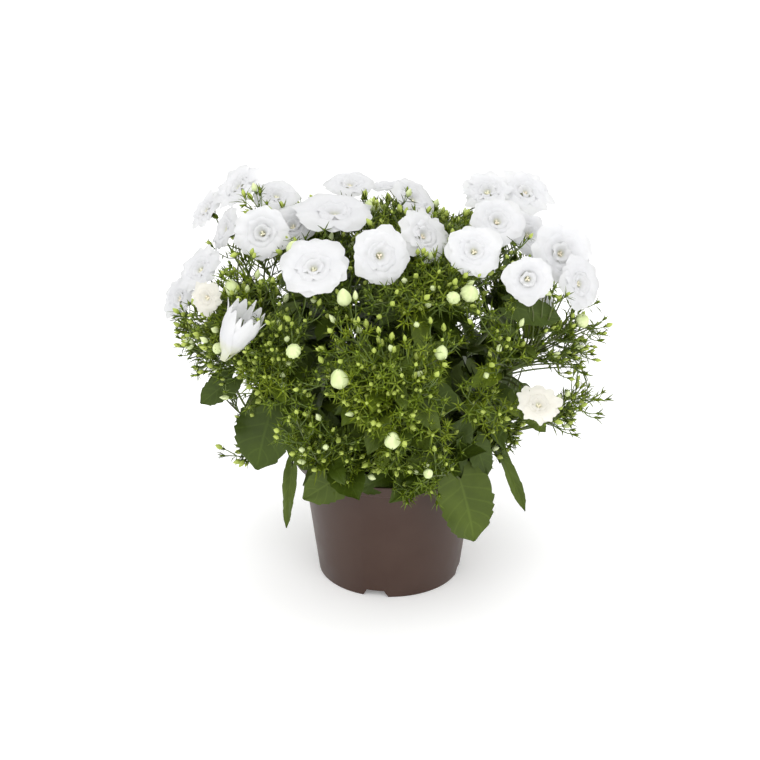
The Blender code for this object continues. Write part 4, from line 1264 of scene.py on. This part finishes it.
def petal_finish(name, base, deep):
    """White that turns pale green down in the throat. The thin petal lets some light through."""
    made, tree, shader, patches, _ = finish_of(name, base, deep, 90.0, 0.6, 0.6, 0.1, gloss=0.3)
    throat = node(tree, "ShaderNodeGroup", {"node_tree": throat_tint}).outputs["Mask"]
    green_share = maths(tree, "MULTIPLY", throat, 0.8)
    tinted = blended(tree, green_share, patches.outputs["Colour"], (*THROAT_GREEN, 1))
    tree.links.new(tinted, shader.inputs["Base Color"])
    through = node(tree, "ShaderNodeBsdfTranslucent", Color=tinted).outputs["BSDF"]
    both = node(tree, "ShaderNodeMixShader", _0=LIGHT_THROUGH, _1=shader.outputs["BSDF"], _2=through)
    out = next(n for n in tree.nodes if n.type == "OUTPUT_MATERIAL")
    tree.links.new(both.outputs["Shader"], out.inputs["Surface"])
    return made


stigma_skin, *_ = finish_of("stigma", STIGMA_CREAM, STIGMA_PINK, 200.0, 0.8, 0.6, 0.3)
cup_skin, *_ = finish_of("flower_cup", *SEPAL_TINTS[1][1:], 150.0, 0.8, 0.5, 0.2, gloss=0.25)
leafy_piece("petals_white", white_petals, petal_finish("petal_white", PETAL_WHITE, PETAL_SHADE))
leafy_piece("petals_cream", cream_petals, petal_finish("petal_cream", PETAL_CREAM, PETAL_CREAM_SHADE))
leafy_piece("stigmas", stigmas, stigma_skin)
leafy_piece("flower_cups", flower_cups, cup_skin)


# Studio
# A pale seamless floor, an even white surround and three large soft lights, seen by a long lens that
# looks a little down on the plant.
CAMERA_TARGET = Vector((-5.9 * MM, 0, 125.2 * MM))
CAMERA_DISTANCE = 1.5
CAMERA_LENS = 118.2
FLOOR_SIZE = 8.0
FLOOR_GLOW = 0.15
LIGHT_SIZE = 1.6
# Lights: name, place and power
LIGHTS = (
    ("key_light", (-0.8, -1.1, 1.5), 9),
    ("fill_light", (0.5, -1.5, 0.7), 8),
    ("top_light", (0.1, 0.2, 1.9), 10),
)

half = FLOOR_SIZE / 2
floor_mesh = bpy.data.meshes.new("floor")
floor_corners = [(-half, -half, 0), (half, -half, 0), (half, half, 0), (-half, half, 0)]
floor_mesh.from_pydata(floor_corners, [], [(0, 1, 2, 3)])
floor = linked("floor", floor_mesh)
pale, _, shader, *_ = finish_of("pale_floor", (0.96, 0.96, 0.96), (0.95, 0.95, 0.95), 3.0, 0.5, 0.8, 0.02)
shader.inputs["Emission Color"].default_value = (1, 1, 1, 1)
shader.inputs["Emission Strength"].default_value = FLOOR_GLOW
floor_mesh.materials.append(pale)

surround = bpy.data.worlds.new("surround")
surround.use_nodes = True
surround.node_tree.nodes["Background"].inputs["Color"].default_value = (1, 1, 1, 1)
surround.node_tree.nodes["Background"].inputs["Strength"].default_value = 1.0
bpy.context.scene.world = surround


def aimed(name, data, place):
    """A light or a camera that looks at the plant."""
    made = linked(name, data)
    made.location = place
    made.rotation_euler = (CAMERA_TARGET - made.location).to_track_quat("-Z", "Y").to_euler()
    return made


for name, place, power in LIGHTS:
    lamp = bpy.data.lights.new(name, "AREA")
    lamp.size = LIGHT_SIZE
    lamp.energy = power
    aimed(name, lamp, place)

lens = bpy.data.cameras.new("camera")
lens.lens = CAMERA_LENS
lens.clip_start, lens.clip_end = 0.05, 50
camera_place = CAMERA_TARGET + heading(0, VIEW_ELEVATION) * CAMERA_DISTANCE
bpy.context.scene.camera = aimed("camera", lens, camera_place)
bpy.context.scene.view_settings.view_transform = "Standard"
